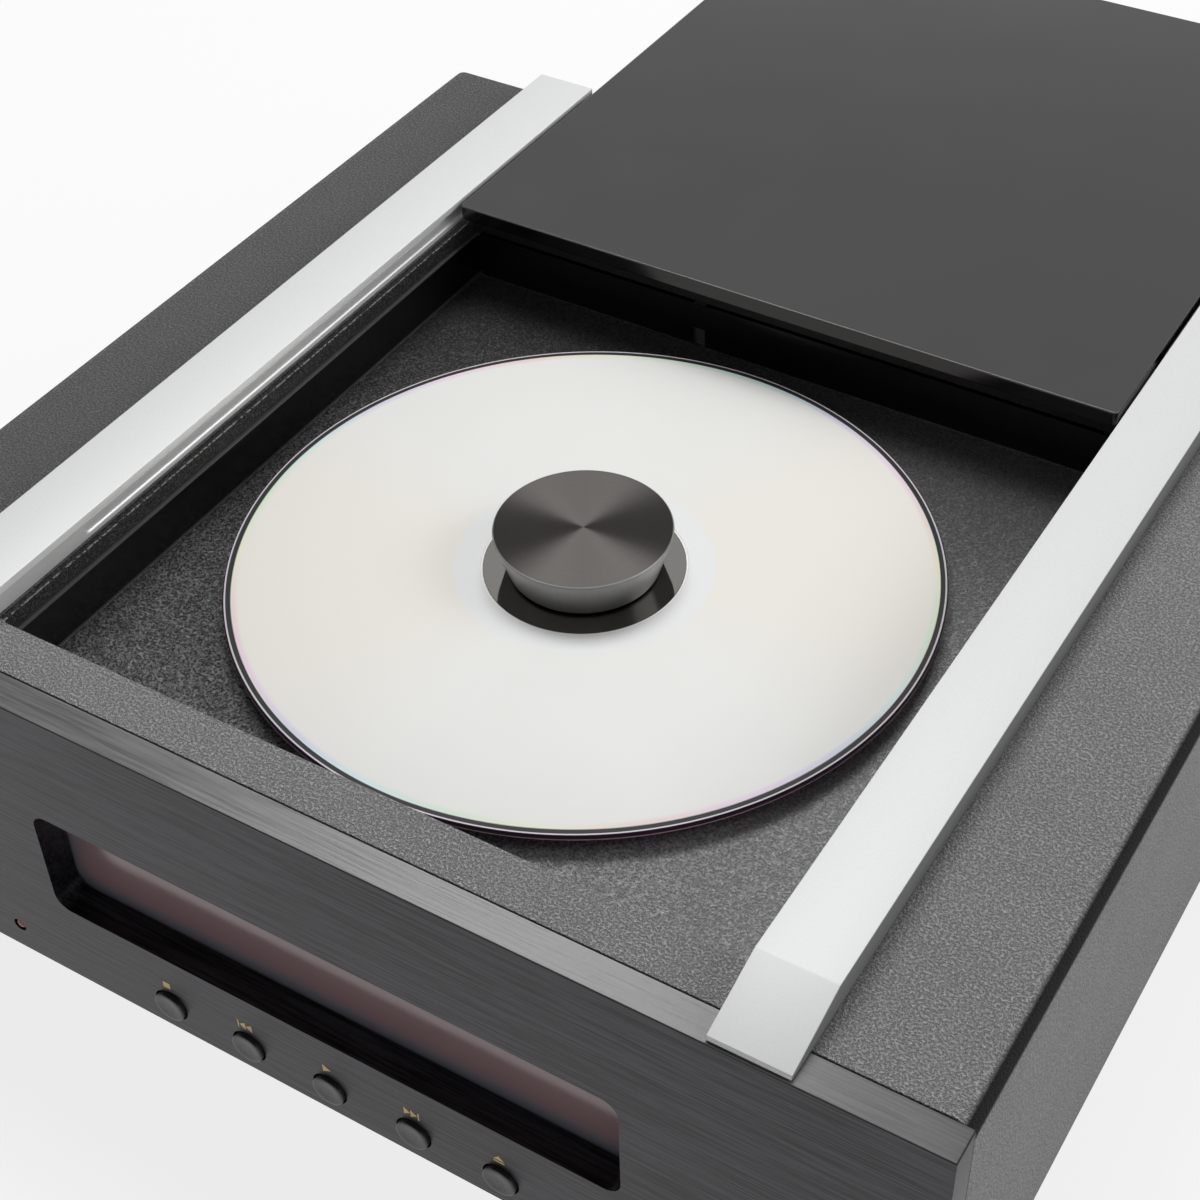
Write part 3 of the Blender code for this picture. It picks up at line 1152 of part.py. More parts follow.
def build():
    """Make every piece."""
    base_pan()
    top_cover()
    front_panel()
    rear_panel()
    rail("left_rail", -1)
    rail("right_rail", 1)
    lid()
    lid_runner("lid_runner_left", -1)
    lid_runner("lid_runner_right", 1)
    lid_magnet()
    lid_sensor()
    disc_well()
    disc()
    puck()
    puck_magnet()
    turntable_hub()
    friction_ring()
    spindle_shaft()
    spindle_motor()
    mechanism_plate()
    for number, (x, y) in enumerate(post_places(), 1):
        mechanism_damper("mechanism_damper_" + str(number), x, y)
    guide_rod("guide_rod_left", ROD_LEFT_X)
    guide_rod("guide_rod_right", ROD_RIGHT_X)
    laser_sled()
    objective_lens()
    feed_motor()
    feed_screw()
    display_window()
    display_module()
    remote_sensor()
    front_board()
    for name, x in zip(BUTTON_NAMES, button_xs()):
        front_button(name, x)
    power_light()
    main_board()
    for name, x in SOCKET_XS.items():
        smooth_round(socket_block(name, x, PHONO_RADIUS, REAR_Y + PHONO_REACH, PHONO_BORE_RADIUS,
                                  PHONO_BORE_DEPTH, BRASS))
    power_inlet()
    ribbon()
    for corner, (x, y) in zip(("left_front", "left_rear", "right_front", "right_rear"), foot_places()):
        foot("foot_" + corner, x, y)
    case_screws()


BUTTON_NAMES = ("button_stop", "button_back", "button_play", "button_next", "button_open", "power_button")

build()
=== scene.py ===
# %% [markdown]
# A top-loading disc player, dressed for a picture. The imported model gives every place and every
# size, and this lesson adds what a camera sees: rounded edges, turned faces, paint grain and light.
# It starts by loading the model as a fixed frame, in metres, with the front towards -Y.

# %% Load the frame
import math

import bmesh
import bpy
import numpy as np
from mathutils import Matrix, Vector
from mathutils.geometry import delaunay_2d_cdt


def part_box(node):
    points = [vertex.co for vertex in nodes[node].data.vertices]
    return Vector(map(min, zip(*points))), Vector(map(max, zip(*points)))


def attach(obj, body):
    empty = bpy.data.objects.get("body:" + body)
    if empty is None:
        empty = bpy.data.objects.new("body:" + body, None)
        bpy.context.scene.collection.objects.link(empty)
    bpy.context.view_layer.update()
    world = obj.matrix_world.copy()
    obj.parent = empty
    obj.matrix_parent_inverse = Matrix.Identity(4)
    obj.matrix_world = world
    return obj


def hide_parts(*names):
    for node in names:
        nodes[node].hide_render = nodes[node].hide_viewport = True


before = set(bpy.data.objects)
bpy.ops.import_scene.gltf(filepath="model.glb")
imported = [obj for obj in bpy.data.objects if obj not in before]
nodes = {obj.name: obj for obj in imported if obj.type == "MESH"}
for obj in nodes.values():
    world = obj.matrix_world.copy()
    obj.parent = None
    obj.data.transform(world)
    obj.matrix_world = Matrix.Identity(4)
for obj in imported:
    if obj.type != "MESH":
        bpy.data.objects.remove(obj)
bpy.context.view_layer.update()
MM = 0.001
low, high = np.array(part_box("disc"))
DISC_TOP = float(high[2])
SPINDLE = (float(low[0] + high[0]) / 2, float(low[1] + high[1]) / 2)
print(len(nodes), "nodes; the spindle stands at", SPINDLE, "and the disc's face at", DISC_TOP)

# %% [markdown]
# The photograph was taken close up, from the front right and from above. Its camera was worked out
# from the disc's round outlines and the straight rails. The camera's axes are built from three
# angles: round the object, up from the floor, and a slight tilt of the picture.

# %% Camera
AROUND, ABOVE, TILT = np.radians((32.724, 42.456, -1.996))
CAMERA_FROM_SPINDLE_MM = (147.79, -225.64, 238.44)
FOCAL_PIXELS, FRAME_PIXELS, SENSOR_MM = 2163.4, 1200, 36


def camera_axes(around, above, tilt):
    """Back points away from the view, right is level, up is their cross product; then both turn by
    the tilt in the picture's plane."""
    level = math.cos(above)
    back = np.array([math.sin(around) * level, -math.cos(around) * level, math.sin(above)])
    right = np.array([math.cos(around), math.sin(around), 0.0])
    up = np.cross(back, right)
    turned_right = right * math.cos(tilt) + up * math.sin(tilt)
    turned_up = up * math.cos(tilt) - right * math.sin(tilt)
    return turned_right, turned_up, back


axes = camera_axes(AROUND, ABOVE, TILT)
eye = np.array([SPINDLE[0], SPINDLE[1], DISC_TOP]) + np.array(CAMERA_FROM_SPINDLE_MM) * MM
camera_data = bpy.data.cameras.new("camera")
camera_data.sensor_width = SENSOR_MM
camera_data.lens = FOCAL_PIXELS / FRAME_PIXELS * SENSOR_MM
camera_data.clip_start = 0.01
camera = bpy.data.objects.new("camera", camera_data)
bpy.context.scene.collection.objects.link(camera)
matrix = np.eye(4)
matrix[:3, :3] = np.column_stack(axes)
matrix[:3, 3] = eye
camera.matrix_world = Matrix(matrix.tolist())
bpy.context.scene.camera = camera
bpy.context.scene.view_settings.view_transform = "Standard"
print("camera at", eye.round(4), "lens", round(camera_data.lens, 2), "mm")

# %% [markdown]
# A material is a tree of nodes, and writing such a tree by hand is long. Here a socket is wrapped
# in a small class whose + - * / add the Math nodes, so a pattern reads like a formula. Every
# pattern starts from Object coordinates, which stay put because each piece sits at the origin.

# %% Values and finishes
class Value:
    """A socket that can be reckoned with: each operator adds one Math node."""

    def __init__(self, finish, socket):
        self.finish = finish
        self.socket = socket

    def math(self, operation, *others):
        return self.finish.node("ShaderNodeMath", {"operation": operation}, dict(enumerate((self,) + others)))

    def __add__(self, other):
        return self.math("ADD", other)

    def __sub__(self, other):
        return self.math("SUBTRACT", other)

    def __rsub__(self, other):
        return self.finish.node("ShaderNodeMath", {"operation": "SUBTRACT"}, {0: other, 1: self})

    def __mul__(self, other):
        return self.math("MULTIPLY", other)

    def __truediv__(self, other):
        return self.math("DIVIDE", other)

    __radd__ = __add__
    __rmul__ = __mul__

    def __abs__(self):
        return self.math("ABSOLUTE")

    def step(self, start, stop):
        """0 below start, 1 above stop, and a smooth rise between them."""
        return self.finish.node("ShaderNodeMapRange", {"interpolation_type": "SMOOTHSTEP"},
                                {0: self, 1: start, 2: stop, 3: 0.0, 4: 1.0})

    def within(self, start, full, fade, stop):
        """1 from full to fade and 0 outside start and stop: one rise times the rest of another."""
        return self.step(start, full) * (1 - self.step(fade, stop))

    def past(self, place, width):
        """0 before a place and 1 after it, with a rise of that width."""
        return self.step(place, place + width)

    def inside(self, start, stop, width):
        """1 between two places and 0 outside them, with a rise and a fall of that width."""
        return self.past(start, width) * (1 - self.past(stop, width))


class Finish:
    """A material with one Principled shader, and one way to add any other node."""

    def __init__(self, name, colour, roughness, metallic=0.0, **constants):
        self.material = bpy.data.materials.new(name)
        self.material.use_nodes = True
        self.tree = self.material.node_tree
        self.shader = self.tree.nodes["Principled BSDF"]
        self.set("Base Color", colour)
        self.set("Roughness", roughness)
        self.set("Metallic", metallic)
        for key, value in constants.items():
            self.set(key.replace("_", " "), value)

    def feed(self, socket, value):
        if isinstance(value, Value):
            self.tree.links.new(value.socket, socket)
        elif isinstance(value, (tuple, list)) and len(value) == 3 and socket.type == "RGBA":
            socket.default_value = (*value, 1.0)
        else:
            socket.default_value = value

    def set(self, name, value):
        self.feed(self.shader.inputs[name], value)

    def node(self, kind, settings=None, sockets=None, out=0):
        item = self.tree.nodes.new(kind)
        for key, value in (settings or {}).items():
            setattr(item, key, value)
        for key, value in (sockets or {}).items():
            self.feed(item.inputs[key], value)
        return Value(self, item.outputs[out])

    def place(self, centre=(0, 0, 0), size=(1, 1, 1), turn=(0, 0, 0)):
        """Object coordinates counted from a centre, in units of a size."""
        source = self.node("ShaderNodeTexCoord", out="Object")
        return self.node("ShaderNodeMapping", {"vector_type": "TEXTURE"},
                         {0: source, 1: centre, 2: turn, 3: size})

    def noise(self, size, detail=3.0, centre=(0, 0, 0), stretch=(1, 1, 1)):
        """Cloudy pattern, from 0 to 1, whose lumps are about as large as size."""
        lumps = tuple(size * part for part in stretch)
        return self.node("ShaderNodeTexNoise", {}, {"Vector": self.place(centre, lumps), "Scale": 1.0,
                                                    "Detail": detail, "Roughness": 0.55})

    def split(self, centre=(0, 0, 0)):
        """The three Object coordinates counted from a centre, one value each."""
        parts = self.node("ShaderNodeSeparateXYZ", {}, {0: self.place(centre)})
        return [Value(self, socket) for socket in parts.socket.node.outputs]

    def mix(self, factor, first, second):
        """First colour where the factor is 0, second where it is 1."""
        return self.node("ShaderNodeMix", {"data_type": "RGBA"}, {0: factor, 6: first, 7: second}, out=2)

    def layers(self, base, *coats):
        """Coats of (mask, colour) over a base: each covers what is under it where its mask is 1."""
        for mask, colour in coats:
            base = self.mix(mask, base, colour)
        return base

    def bump(self, height, distance):
        """Let a height pattern tilt the surface, where 1 stands for that distance."""
        settings = {"Height": height, "Distance": distance, "Strength": 1.0}
        self.set("Normal", self.node("ShaderNodeBump", {}, settings))

    def pattern(self, pattern, dark, light, relief=0.0, gloss=()):
        """One pattern for the colour, from dark to light, for the relief, and for the gloss, where
        roughness is the pattern times the first number plus the second."""
        self.set("Base Color", self.mix(pattern, dark, light))
        if relief:
            self.bump(pattern, relief)
        if gloss:
            self.set("Roughness", pattern * gloss[0] + gloss[1])


def grey(tone):
    """Colour whose three parts are one tone."""
    return (tone, tone, tone)


def dress(names, finish):
    """Give CAD nodes that keep their own shape a finish of this lesson."""
    for name in names:
        for holder in nodes[name].material_slots:
            holder.material = finish.material
    print("dressed", ", ".join(names))


print("ready to mix finishes")

# %% [markdown]
# Surfaces are worked out as whole grids of points: a profile is carried along a path or turned
# about an axis, and neighbours in the grid become faces. A grid may close round on itself. Points
# that fall together, as on a pole or a seam, are merged, so that every shape is closed.

# %% Surface helpers
def faces_of_grid(rows, columns, closed):
    """Quads between neighbours of a grid whose points are counted row by row."""
    index = np.arange(rows * columns).reshape(rows, columns)
    if closed:
        index = np.concatenate([index, index[:, :1]], axis=1)
    a, b, c, d = index[:-1, :-1], index[:-1, 1:], index[1:, 1:], index[1:, :-1]
    return np.stack([a, b, c, d], axis=-1).reshape(-1, 4)


def piece(name, points, faces, finish, body, stands_for=(), slot=None, bevel=0.0, sharp=35, segments=2):
    """Make a mesh piece: merge its doubles, turn its faces outwards, round its sharp edges, and let
    it ride on a body."""
    mesh = bpy.data.meshes.new(name)
    mesh.from_pydata(np.asarray(points, float).reshape(-1, 3).tolist(), [], [list(map(int, face)) for face in faces])
    work = bmesh.new()
    work.from_mesh(mesh)
    bmesh.ops.remove_doubles(work, verts=work.verts, dist=1e-6)
    if bevel:
        bmesh.ops.dissolve_limit(work, angle_limit=0.01, verts=work.verts, edges=work.edges)
    bmesh.ops.recalc_face_normals(work, faces=work.faces)
    work.to_mesh(mesh)
    work.free()
    mesh.shade_smooth()
    mesh.set_sharp_from_angle(angle=math.radians(sharp))
    item = bpy.data.objects.new(name, mesh)
    bpy.context.scene.collection.objects.link(item)
    if bevel:
        rounding = item.modifiers.new("rounding", "BEVEL")
        rounding.width = bevel
        rounding.segments = segments
        rounding.limit_method = "ANGLE"
        rounding.angle_limit = math.radians(sharp)
        rounding.harden_normals = True
    mesh.materials.append(finish.material)
    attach(item, body)
    if stands_for:
        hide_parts(*stands_for)
    print(name, len(mesh.polygons), "faces on", body)


def softened(profile, radius, steps=4):
    """Round each inner corner of a profile: a curve from one side of the corner to the other that
    weighs start, corner and end by (1-t)^2, 2t(1-t) and t^2."""
    profile = np.asarray(profile, float)
    result = [profile[:1]]
    t = np.linspace(0, 1, steps + 1)[:, None]
    for before, corner, after in zip(profile[:-2], profile[1:-1], profile[2:]):
        back, onward = before - corner, after - corner
        reach = min(radius, np.linalg.norm(back) * 0.45, np.linalg.norm(onward) * 0.45)
        start = corner + back / np.linalg.norm(back) * reach
        end = corner + onward / np.linalg.norm(onward) * reach
        result.append((1 - t) ** 2 * start + 2 * t * (1 - t) * corner + t ** 2 * end)
    result.append(profile[-1:])
    return np.concatenate(result)


def turned(profile, centre, axis="Z", steps=96):
    """Turn a profile of (radius, height) about an axis: across is radius times cosine, along is
    radius times sine, and the height runs along the axis."""
    profile = np.asarray(profile, float)
    angle = np.linspace(0, 2 * math.pi, steps, endpoint=False)
    across = profile[:, :1] * np.cos(angle)
    along = profile[:, :1] * np.sin(angle)
    height = np.repeat(profile[:, 1:], steps, axis=1)
    order = {"Z": (across, along, height), "Y": (across, height, along), "X": (height, across, along)}[axis]
    points = np.stack(order, axis=-1) + np.asarray(centre, float)
    return points, faces_of_grid(len(profile), steps, True)


def rounded_loop(low, high, radius, steps=6):
    """Rectangle with round corners as one loop: four quarter turns about the corners' centres. A
    circle is the same with its full radius."""
    centres = np.array([(low[0] + radius, low[1] + radius), (high[0] - radius, low[1] + radius),
                        (high[0] - radius, high[1] - radius), (low[0] + radius, high[1] - radius)])
    turns = np.radians([180, 270, 360, 450])[:, None] + np.linspace(0, math.pi / 2, steps + 1)
    loop = (centres[:, None, :] + radius * np.stack([np.cos(turns), np.sin(turns)], axis=-1)).reshape(-1, 2)
    return loop[np.linalg.norm(loop - np.roll(loop, 1, axis=0), axis=1) > 1e-7]


def round_loop(centre, radius, steps=8):
    """Circle as a loop of points."""
    centre = np.asarray(centre, float)
    return rounded_loop(centre - radius, centre + radius, radius, steps)


def between(points, loops):
    """True for points inside the first loop and outside the others: a ray towards +x crosses the
    loops' edges an odd number of times."""
    crossings = np.zeros(len(points), int)
    for loop in loops:
        (ax, ay), (bx, by) = loop.T, np.roll(loop, -1, axis=0).T
        px, py = points[:, :1], points[:, 1:]
        spans = (ay > py) != (by > py)
        rise = np.where(by == ay, 1.0, by - ay)
        crossings += (spans & (px < ax + (py - ay) * (bx - ax) / rise)).sum(axis=1)
    return crossings % 2 == 1


def slab(loops, thickness, lines=()):
    """Plate in its own coordinates: across, along and depth. The first loop is its outline, the
    others are openings, and lines are extra creases. The two faces are the same triangles at depth
    0 and at the thickness, and every loop gets a wall between them."""
    points = np.concatenate(list(loops) + [np.asarray(line, float) for line in lines])
    edges, start = [], 0
    for loop in loops:
        edges += [(start + k, start + (k + 1) % len(loop)) for k in range(len(loop))]
        start += len(loop)
    border = len(edges)
    for _ in lines:
        edges.append((start, start + 1))
        start += 2
    drawn = delaunay_2d_cdt([Vector(p) for p in points.tolist()], edges, [], 0, 1e-9)
    flat = np.array([tuple(p) for p in drawn[0]])
    count = len(flat)
    faces = np.array(drawn[2])
    faces = faces[between(flat[faces].mean(axis=1), loops)]
    rims = [edge for edge, origins in zip(drawn[1], drawn[4]) if min(origins, default=border) < border]
    walls = [(a, b, b + count, a + count) for a, b in rims]
    depth = np.repeat([0.0, thickness], count)[:, None]
    return (np.concatenate([np.concatenate([flat, flat]), depth], axis=1),
            faces.tolist() + (faces[:, ::-1] + count).tolist() + walls)


def upright(surface, place, way=1):
    """Stand a slab on its edge at a place: along becomes height, and depth runs along Y, towards the
    rear or, with way -1, towards the front."""
    across, along, depth = surface[0].T
    return np.stack([place[0] + across, place[1] + way * depth, place[2] + along], axis=-1), surface[1]


def joined(parts):
    """Several surfaces as one: each one's faces count on from the points before it."""
    starts = np.cumsum([0] + [len(points) for points, _ in parts])
    faces = [[k + start for k in face] for (_, faces), start in zip(parts, starts)
             for face in np.asarray(faces, object)]
    return np.concatenate([np.asarray(points).reshape(-1, 3) for points, _ in parts]), faces


print("surface helpers ready")

# %% [markdown]
# The player stands on a plain pale floor in a white room. Three soft lamps light it: a large one
# high behind it on the left, which draws the lid's shadow into the well, a small weak one lower
# behind it, which the clear middle of the disc mirrors, and a large weaker one at the right, for the
# side of the case. The camera, gloss and glass see a white ground, which adds no light.

# %% Floor, room and lamps
def linked(tree, kind, sources, **settings):
    """Add a node to a tree, link its inputs to the given sockets or set them to the given numbers,
    and return its first output."""
    item = tree.nodes.new(kind)
    for key, value in settings.items():
        setattr(item, key, value)
    for key, source in sources.items():
        if isinstance(source, float):
            item.inputs[key].default_value = source
        else:
            tree.links.new(source, item.inputs[key])
    return item.outputs[0]


def seen_rays(tree):
    """1 for the rays of the camera, of gloss and of glass, 0 for those that carry light."""
    path = tree.nodes.new("ShaderNodeLightPath")
    total = path.outputs["Is Camera Ray"]
    for name in ("Is Glossy Ray", "Is Transmission Ray"):
        total = linked(tree, "ShaderNodeMath", {0: total, 1: path.outputs[name]}, operation="MAXIMUM")
    return total


ROOM_LIGHT, HORIZON_SEEN, WALL_SEEN, CEILING_SEEN, FLOOR_SEEN = 0.2, 0.84, 1.0, 0.06, 0.8
WALL_START, WALL_FULL, CEILING_START, CEILING_FULL = 0.0, 0.12, 0.28, 0.52
world = bpy.data.worlds.new("white_room")
bpy.context.scene.world = world
world.use_nodes = True
tree = world.node_tree
background = tree.nodes["Background"]
direction = linked(tree, "ShaderNodeSeparateXYZ", {0: tree.nodes.new("ShaderNodeTexCoord").outputs["Generated"]})
upwards = direction.node.outputs["Z"]
seen = HORIZON_SEEN
for start, stop, last in ((WALL_START, WALL_FULL, WALL_SEEN), (CEILING_START, CEILING_FULL, CEILING_SEEN)):
    seen = linked(tree, "ShaderNodeMapRange", {0: upwards, 1: start, 2: stop, 3: seen, 4: last},
                  interpolation_type="SMOOTHSTEP")
strength = linked(tree, "ShaderNodeMix", {0: seen_rays(tree), 2: ROOM_LIGHT, 3: seen})
tree.links.new(strength, background.inputs["Strength"])
background.inputs["Color"].default_value = (1.0, 1.0, 1.0, 1.0)

floor_finish = Finish("pale_floor", grey(0.86), 0.7)
tree = floor_finish.tree
share = linked(tree, "ShaderNodeMath", {0: seen_rays(tree), 1: FLOOR_SEEN}, operation="MULTIPLY")
blend = linked(tree, "ShaderNodeMixShader", {0: share, 1: floor_finish.shader.outputs[0],
                                             2: linked(tree, "ShaderNodeEmission", {})})
tree.links.new(blend, tree.nodes["Material Output"].inputs["Surface"])

FLOOR_HALF = 30.0
floor_mesh = bpy.data.meshes.new("floor")
floor_mesh.from_pydata([(-FLOOR_HALF, -FLOOR_HALF, 0), (FLOOR_HALF, -FLOOR_HALF, 0),
                        (FLOOR_HALF, FLOOR_HALF, 0), (-FLOOR_HALF, FLOOR_HALF, 0)], [], [(0, 1, 2, 3)])
floor = bpy.data.objects.new("floor", floor_mesh)
floor_mesh.materials.append(floor_finish.material)
bpy.context.scene.collection.objects.link(floor)


def soft_lamp(name, around, above, size, power):
    """Soft lamp on a sphere round the disc, turned towards it. The first angle counts from the
    camera's side, the second from the floor, both in degrees."""
    around, above = AROUND + math.radians(around), math.radians(above)
    data = bpy.data.lights.new(name, "AREA")
    data.shape = "RECTANGLE"
    data.size, data.size_y = size
    data.energy = power
    lamp = bpy.data.objects.new(name, data)
    away = Vector((math.cos(above) * math.sin(around), -math.cos(above) * math.cos(around), math.sin(above)))
    lamp.location = Vector((*SPINDLE, DISC_TOP)) + away * LAMP_DISTANCE
    lamp.rotation_euler = away.to_track_quat("Z", "Y").to_euler()
    bpy.context.scene.collection.objects.link(lamp)
    print(name, "at", [round(part, 2) for part in lamp.location])


LAMP_DISTANCE = 1.2
soft_lamp("rear_lamp", 180, 64, (0.85, 0.45), 10.6)
soft_lamp("rear_card", 180, 41.5, (0.22, 0.14), 0.18)
soft_lamp("right_lamp", 85, 30, (0.7, 0.5), 4.0)

# %% [markdown]
# The cover is painted with a fine textured black: small raised grains that catch the light, over a
# coat that is not quite even. Scattered points could give the grains, but noise of two sizes comes
# closer to sprayed paint, so it gives the grains, and a larger noise gives the unevenness.

# %% Textured paint
PAINT_GRAIN, PAINT_RELIEF, PAINT_CLOUD, PAINT_ROUGHNESS = 0.44 * MM, 0.32 * MM, 12 * MM, 0.62
PAINT_DARK, PAINT_LIGHT = (0.155, 0.155, 0.158), (0.455, 0.456, 0.462)
paint = Finish("textured_black_paint", PAINT_DARK, PAINT_ROUGHNESS)
cloud = paint.noise(PAINT_CLOUD, 2.0).step(0.3, 0.7)
fine = paint.noise(PAINT_GRAIN / 2, 2.0)
relief = (paint.noise(PAINT_GRAIN, 2.0) * 0.7 + fine * 0.3).step(0.34, 0.66)
coat = paint.mix(relief * 0.94 + cloud * 0.06, PAINT_DARK, PAINT_LIGHT)
paint.bump(relief, PAINT_RELIEF)
print("paint with grains of", PAINT_GRAIN / MM, "mm")

# %% [markdown]
# Light and shade on the sheet are painted into its colour. The strip between the rails and the
# well is painted nearly black as the rails' shade, with bright specks of grain, and its rear part,
# under the lid, is painted as the lid's shadow. The cut edge of the opening has a painted glint in
# a broken line, the left side is painted in shade, and the bend, which turns its face to the dark,
# is painted dark. Lamps alone don't draw this, so each is a mask on Object coordinates, 1 on its
# place and 0 elsewhere, and the masks mix the colours.

# %% Painted light and shade on the cover
COVER_TOP = float(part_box("top_cover")[1][2])
STRIP_HALF, STRIP_FRONT_Y, STRIP_REAR_Y = 67.5 * MM, SPINDLE[1] - 65.5 * MM, SPINDLE[1] + 70.5 * MM
SHADE_X, CUT_HALF, BEND_X, LID_SHADOW_Y = -72.5 * MM, 66.5 * MM, 99.6 * MM, SPINDLE[1] + 66 * MM
across, along, upward = paint.split()
below = COVER_TOP - upward
# Masks for painted shade: the strip beside the rails, and the left side of the sheet.
rail_shade_strip = (1 - abs(across).past(STRIP_HALF, 0.2 * MM)) * along.inside(STRIP_FRONT_Y, STRIP_REAR_Y, 0.2 * MM)
shaded = (1 - across.past(SHADE_X, 0.5 * MM)) * (1 - below.step(0.3 * MM, 0.8 * MM))
# Painted shade on the bend.
bend = below.within(0.2 * MM, 0.75 * MM, 2.2 * MM, 2.9 * MM) * abs(across).past(BEND_X, 0.6 * MM)
# Painted glint along the cut edge of the opening, broken up by noise.
glint = paint.noise(0.7 * MM, 2.0).step(0.42, 0.55)
cut_edge_glint = (1 - abs(across).past(CUT_HALF, 0.1 * MM)) * (1 - below.step(0.1 * MM, 0.16 * MM)) * glint
# Grain specks in the strip, and the lid's painted shadow at the strip's rear.
speck, behind = paint.noise(0.4 * MM, 2.0).step(0.45, 0.7), along.past(LID_SHADOW_Y, 1 * MM) * 0.9
# The coat gets painted shade on the left side and the bend; the strip is painted shade, with the painted glint and
# the lid's painted shadow over it.
coat = paint.layers(coat, (shaded * 0.58, grey(0.0)), (bend, grey(0.004)))
strip = paint.layers(grey(0.012), (speck, grey(0.09)), (cut_edge_glint, (0.35, 0.35, 0.34)), (behind, grey(0.0)))
paint.set("Base Color", paint.mix(rail_shade_strip, coat, strip))
paint.set("Roughness", PAINT_ROUGHNESS + (fine - 0.5) * 0.2 + bend * 0.4)
print("cover's top at", COVER_TOP)

# %% [markdown]
# The well is moulded. Its floor has a coarse grain, its walls are smooth and glossy, so the grain
# fades just above the floor. Light and shade are painted on the floor: paler towards the right and
# the front, darker towards the left and the rear, and towards the right the hollows between the
# grains are painted paler too. Three thin pale places are drawn on the walls: painted highlights
# along the foot and the top of the side walls, and a small moulded mark in the rear wall.

# %% Moulded well
well_low, well_high = np.array(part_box("disc_well"))
WELL_FLOOR, WELL_TOP = float(well_low[2]) + 1.5 * MM, float(well_high[2])
SIDE_WALL_X, REAR_WALL_Y, MARK_X, MARK_HALF = 65.0 * MM, SPINDLE[1] + 67.05 * MM, -16 * MM, 1.2 * MM
well_finish = Finish("moulded_black", (0.02, 0.02, 0.021), 0.4)
x, y, z = well_finish.split()
over_floor, to_right = z - WELL_FLOOR, x - SPINDLE[0]
wall = over_floor.step(0.35 * MM, 0.7 * MM)
grain = (well_finish.noise(0.42 * MM, 2.0) * 0.6 + well_finish.noise(0.2 * MM, 2.0) * 0.4).step(0.33, 0.67)
# Painted light and shade on the floor: paler to the right and the front, darker to the left and the rear.
painted_hollow_light = to_right * 4.5 + 0.08
painted_light_and_shade = (to_right * 4.4 + 0.62) * (1.15 - y.step(SPINDLE[1] - 10 * MM, SPINDLE[1] + 60 * MM) * 0.85)
floor_tone = well_finish.mix((grain * (1 - painted_hollow_light) + painted_hollow_light) * painted_light_and_shade, (0.014, 0.014, 0.015), (0.66, 0.66, 0.665))
side_wall = abs(x).past(SIDE_WALL_X, 0.5 * MM)
# Painted highlights along the foot and the top of the side walls.
foot = side_wall * over_floor.within(0.5 * MM, 0.6 * MM, 0.9 * MM, 1.3 * MM)
mark = (1 - abs(x - MARK_X).past(MARK_HALF, 0.1 * MM)) * y.past(REAR_WALL_Y, 0.1 * MM)
wall_top_highlight = z.step(WELL_TOP - 0.4 * MM, WELL_TOP - 0.3 * MM) * side_wall
wall_tone = well_finish.layers((0.006, 0.006, 0.007), (foot, (0.07, 0.07, 0.072)), (mark, grey(0.10)),
                               (wall_top_highlight, grey(0.12)))
well_finish.set("Base Color", well_finish.mix(wall, floor_tone, wall_tone))
well_finish.set("Roughness", wall * -0.32 + 0.52)
well_finish.bump(grain * (1 - wall), 0.4 * MM)
dress(["disc_well"], well_finish)

# %% [markdown]
# The front is thick aluminium, brushed along its length and then anodised black. Brushing leaves
# long fine scratches, so the noise is stretched along X. Its top edge faces the light and is painted
# lighter, and a painted line of shade under that edge parts it from the face.

# %% Brushed front
def brushing(finish, size, along):
    """Strokes from noise stretched along them, and a tone that adds broader ones: 0.7 and 0.3."""
    strokes = finish.noise(size, 4.0, stretch=along)
    return strokes, strokes * 0.7 + finish.noise(size * 3, 2.0, stretch=along) * 0.3


panel_low, panel_high = np.array(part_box("front_panel"))
panel_finish = Finish("brushed_black_aluminium", (0.030, 0.030, 0.034), 0.36, 0.55)
_, tone = brushing(panel_finish, 0.5 * MM, (26, 1, 1))
from_top = float(panel_high[2]) - panel_finish.split()[2]
# Painted light on the top edge, and a painted line of shade under it.
lit_top_edge = 1 - from_top.step(0.06 * MM, 0.14 * MM)
shade_line = 1 - from_top.step(0.4 * MM, 0.5 * MM)
edge_tone = panel_finish.mix(tone.step(0.3, 0.7), grey(0.095), grey(0.165))
panel_finish.set("Base Color", panel_finish.layers(
    (0.002, 0.002, 0.003), (tone.step(0.36, 0.64), (0.042, 0.042, 0.050)), (shade_line, (0.006, 0.006, 0.007)),
    (lit_top_edge, edge_tone)))
dull = shade_line * (1 - lit_top_edge) * 0.5
panel_finish.set("Metallic", 0.5 - lit_top_edge * 0.3 - dull)
panel_finish.set("Roughness", (tone - 0.5) * 0.3 + 0.36 + dull)
panel_finish.bump(tone, 0.08 * MM)
print("front brushed along X")

# %% [markdown]
# The rails are blasted and anodised silver, which looks almost white from above. Their outer faces
# look away from the light, the strip over the groove catches it, and a fine bevel under the groove
# draws a bright line, so these three get painted tones: painted shade on the outer faces, painted
# light over the groove and a painted highlight on the bevel.

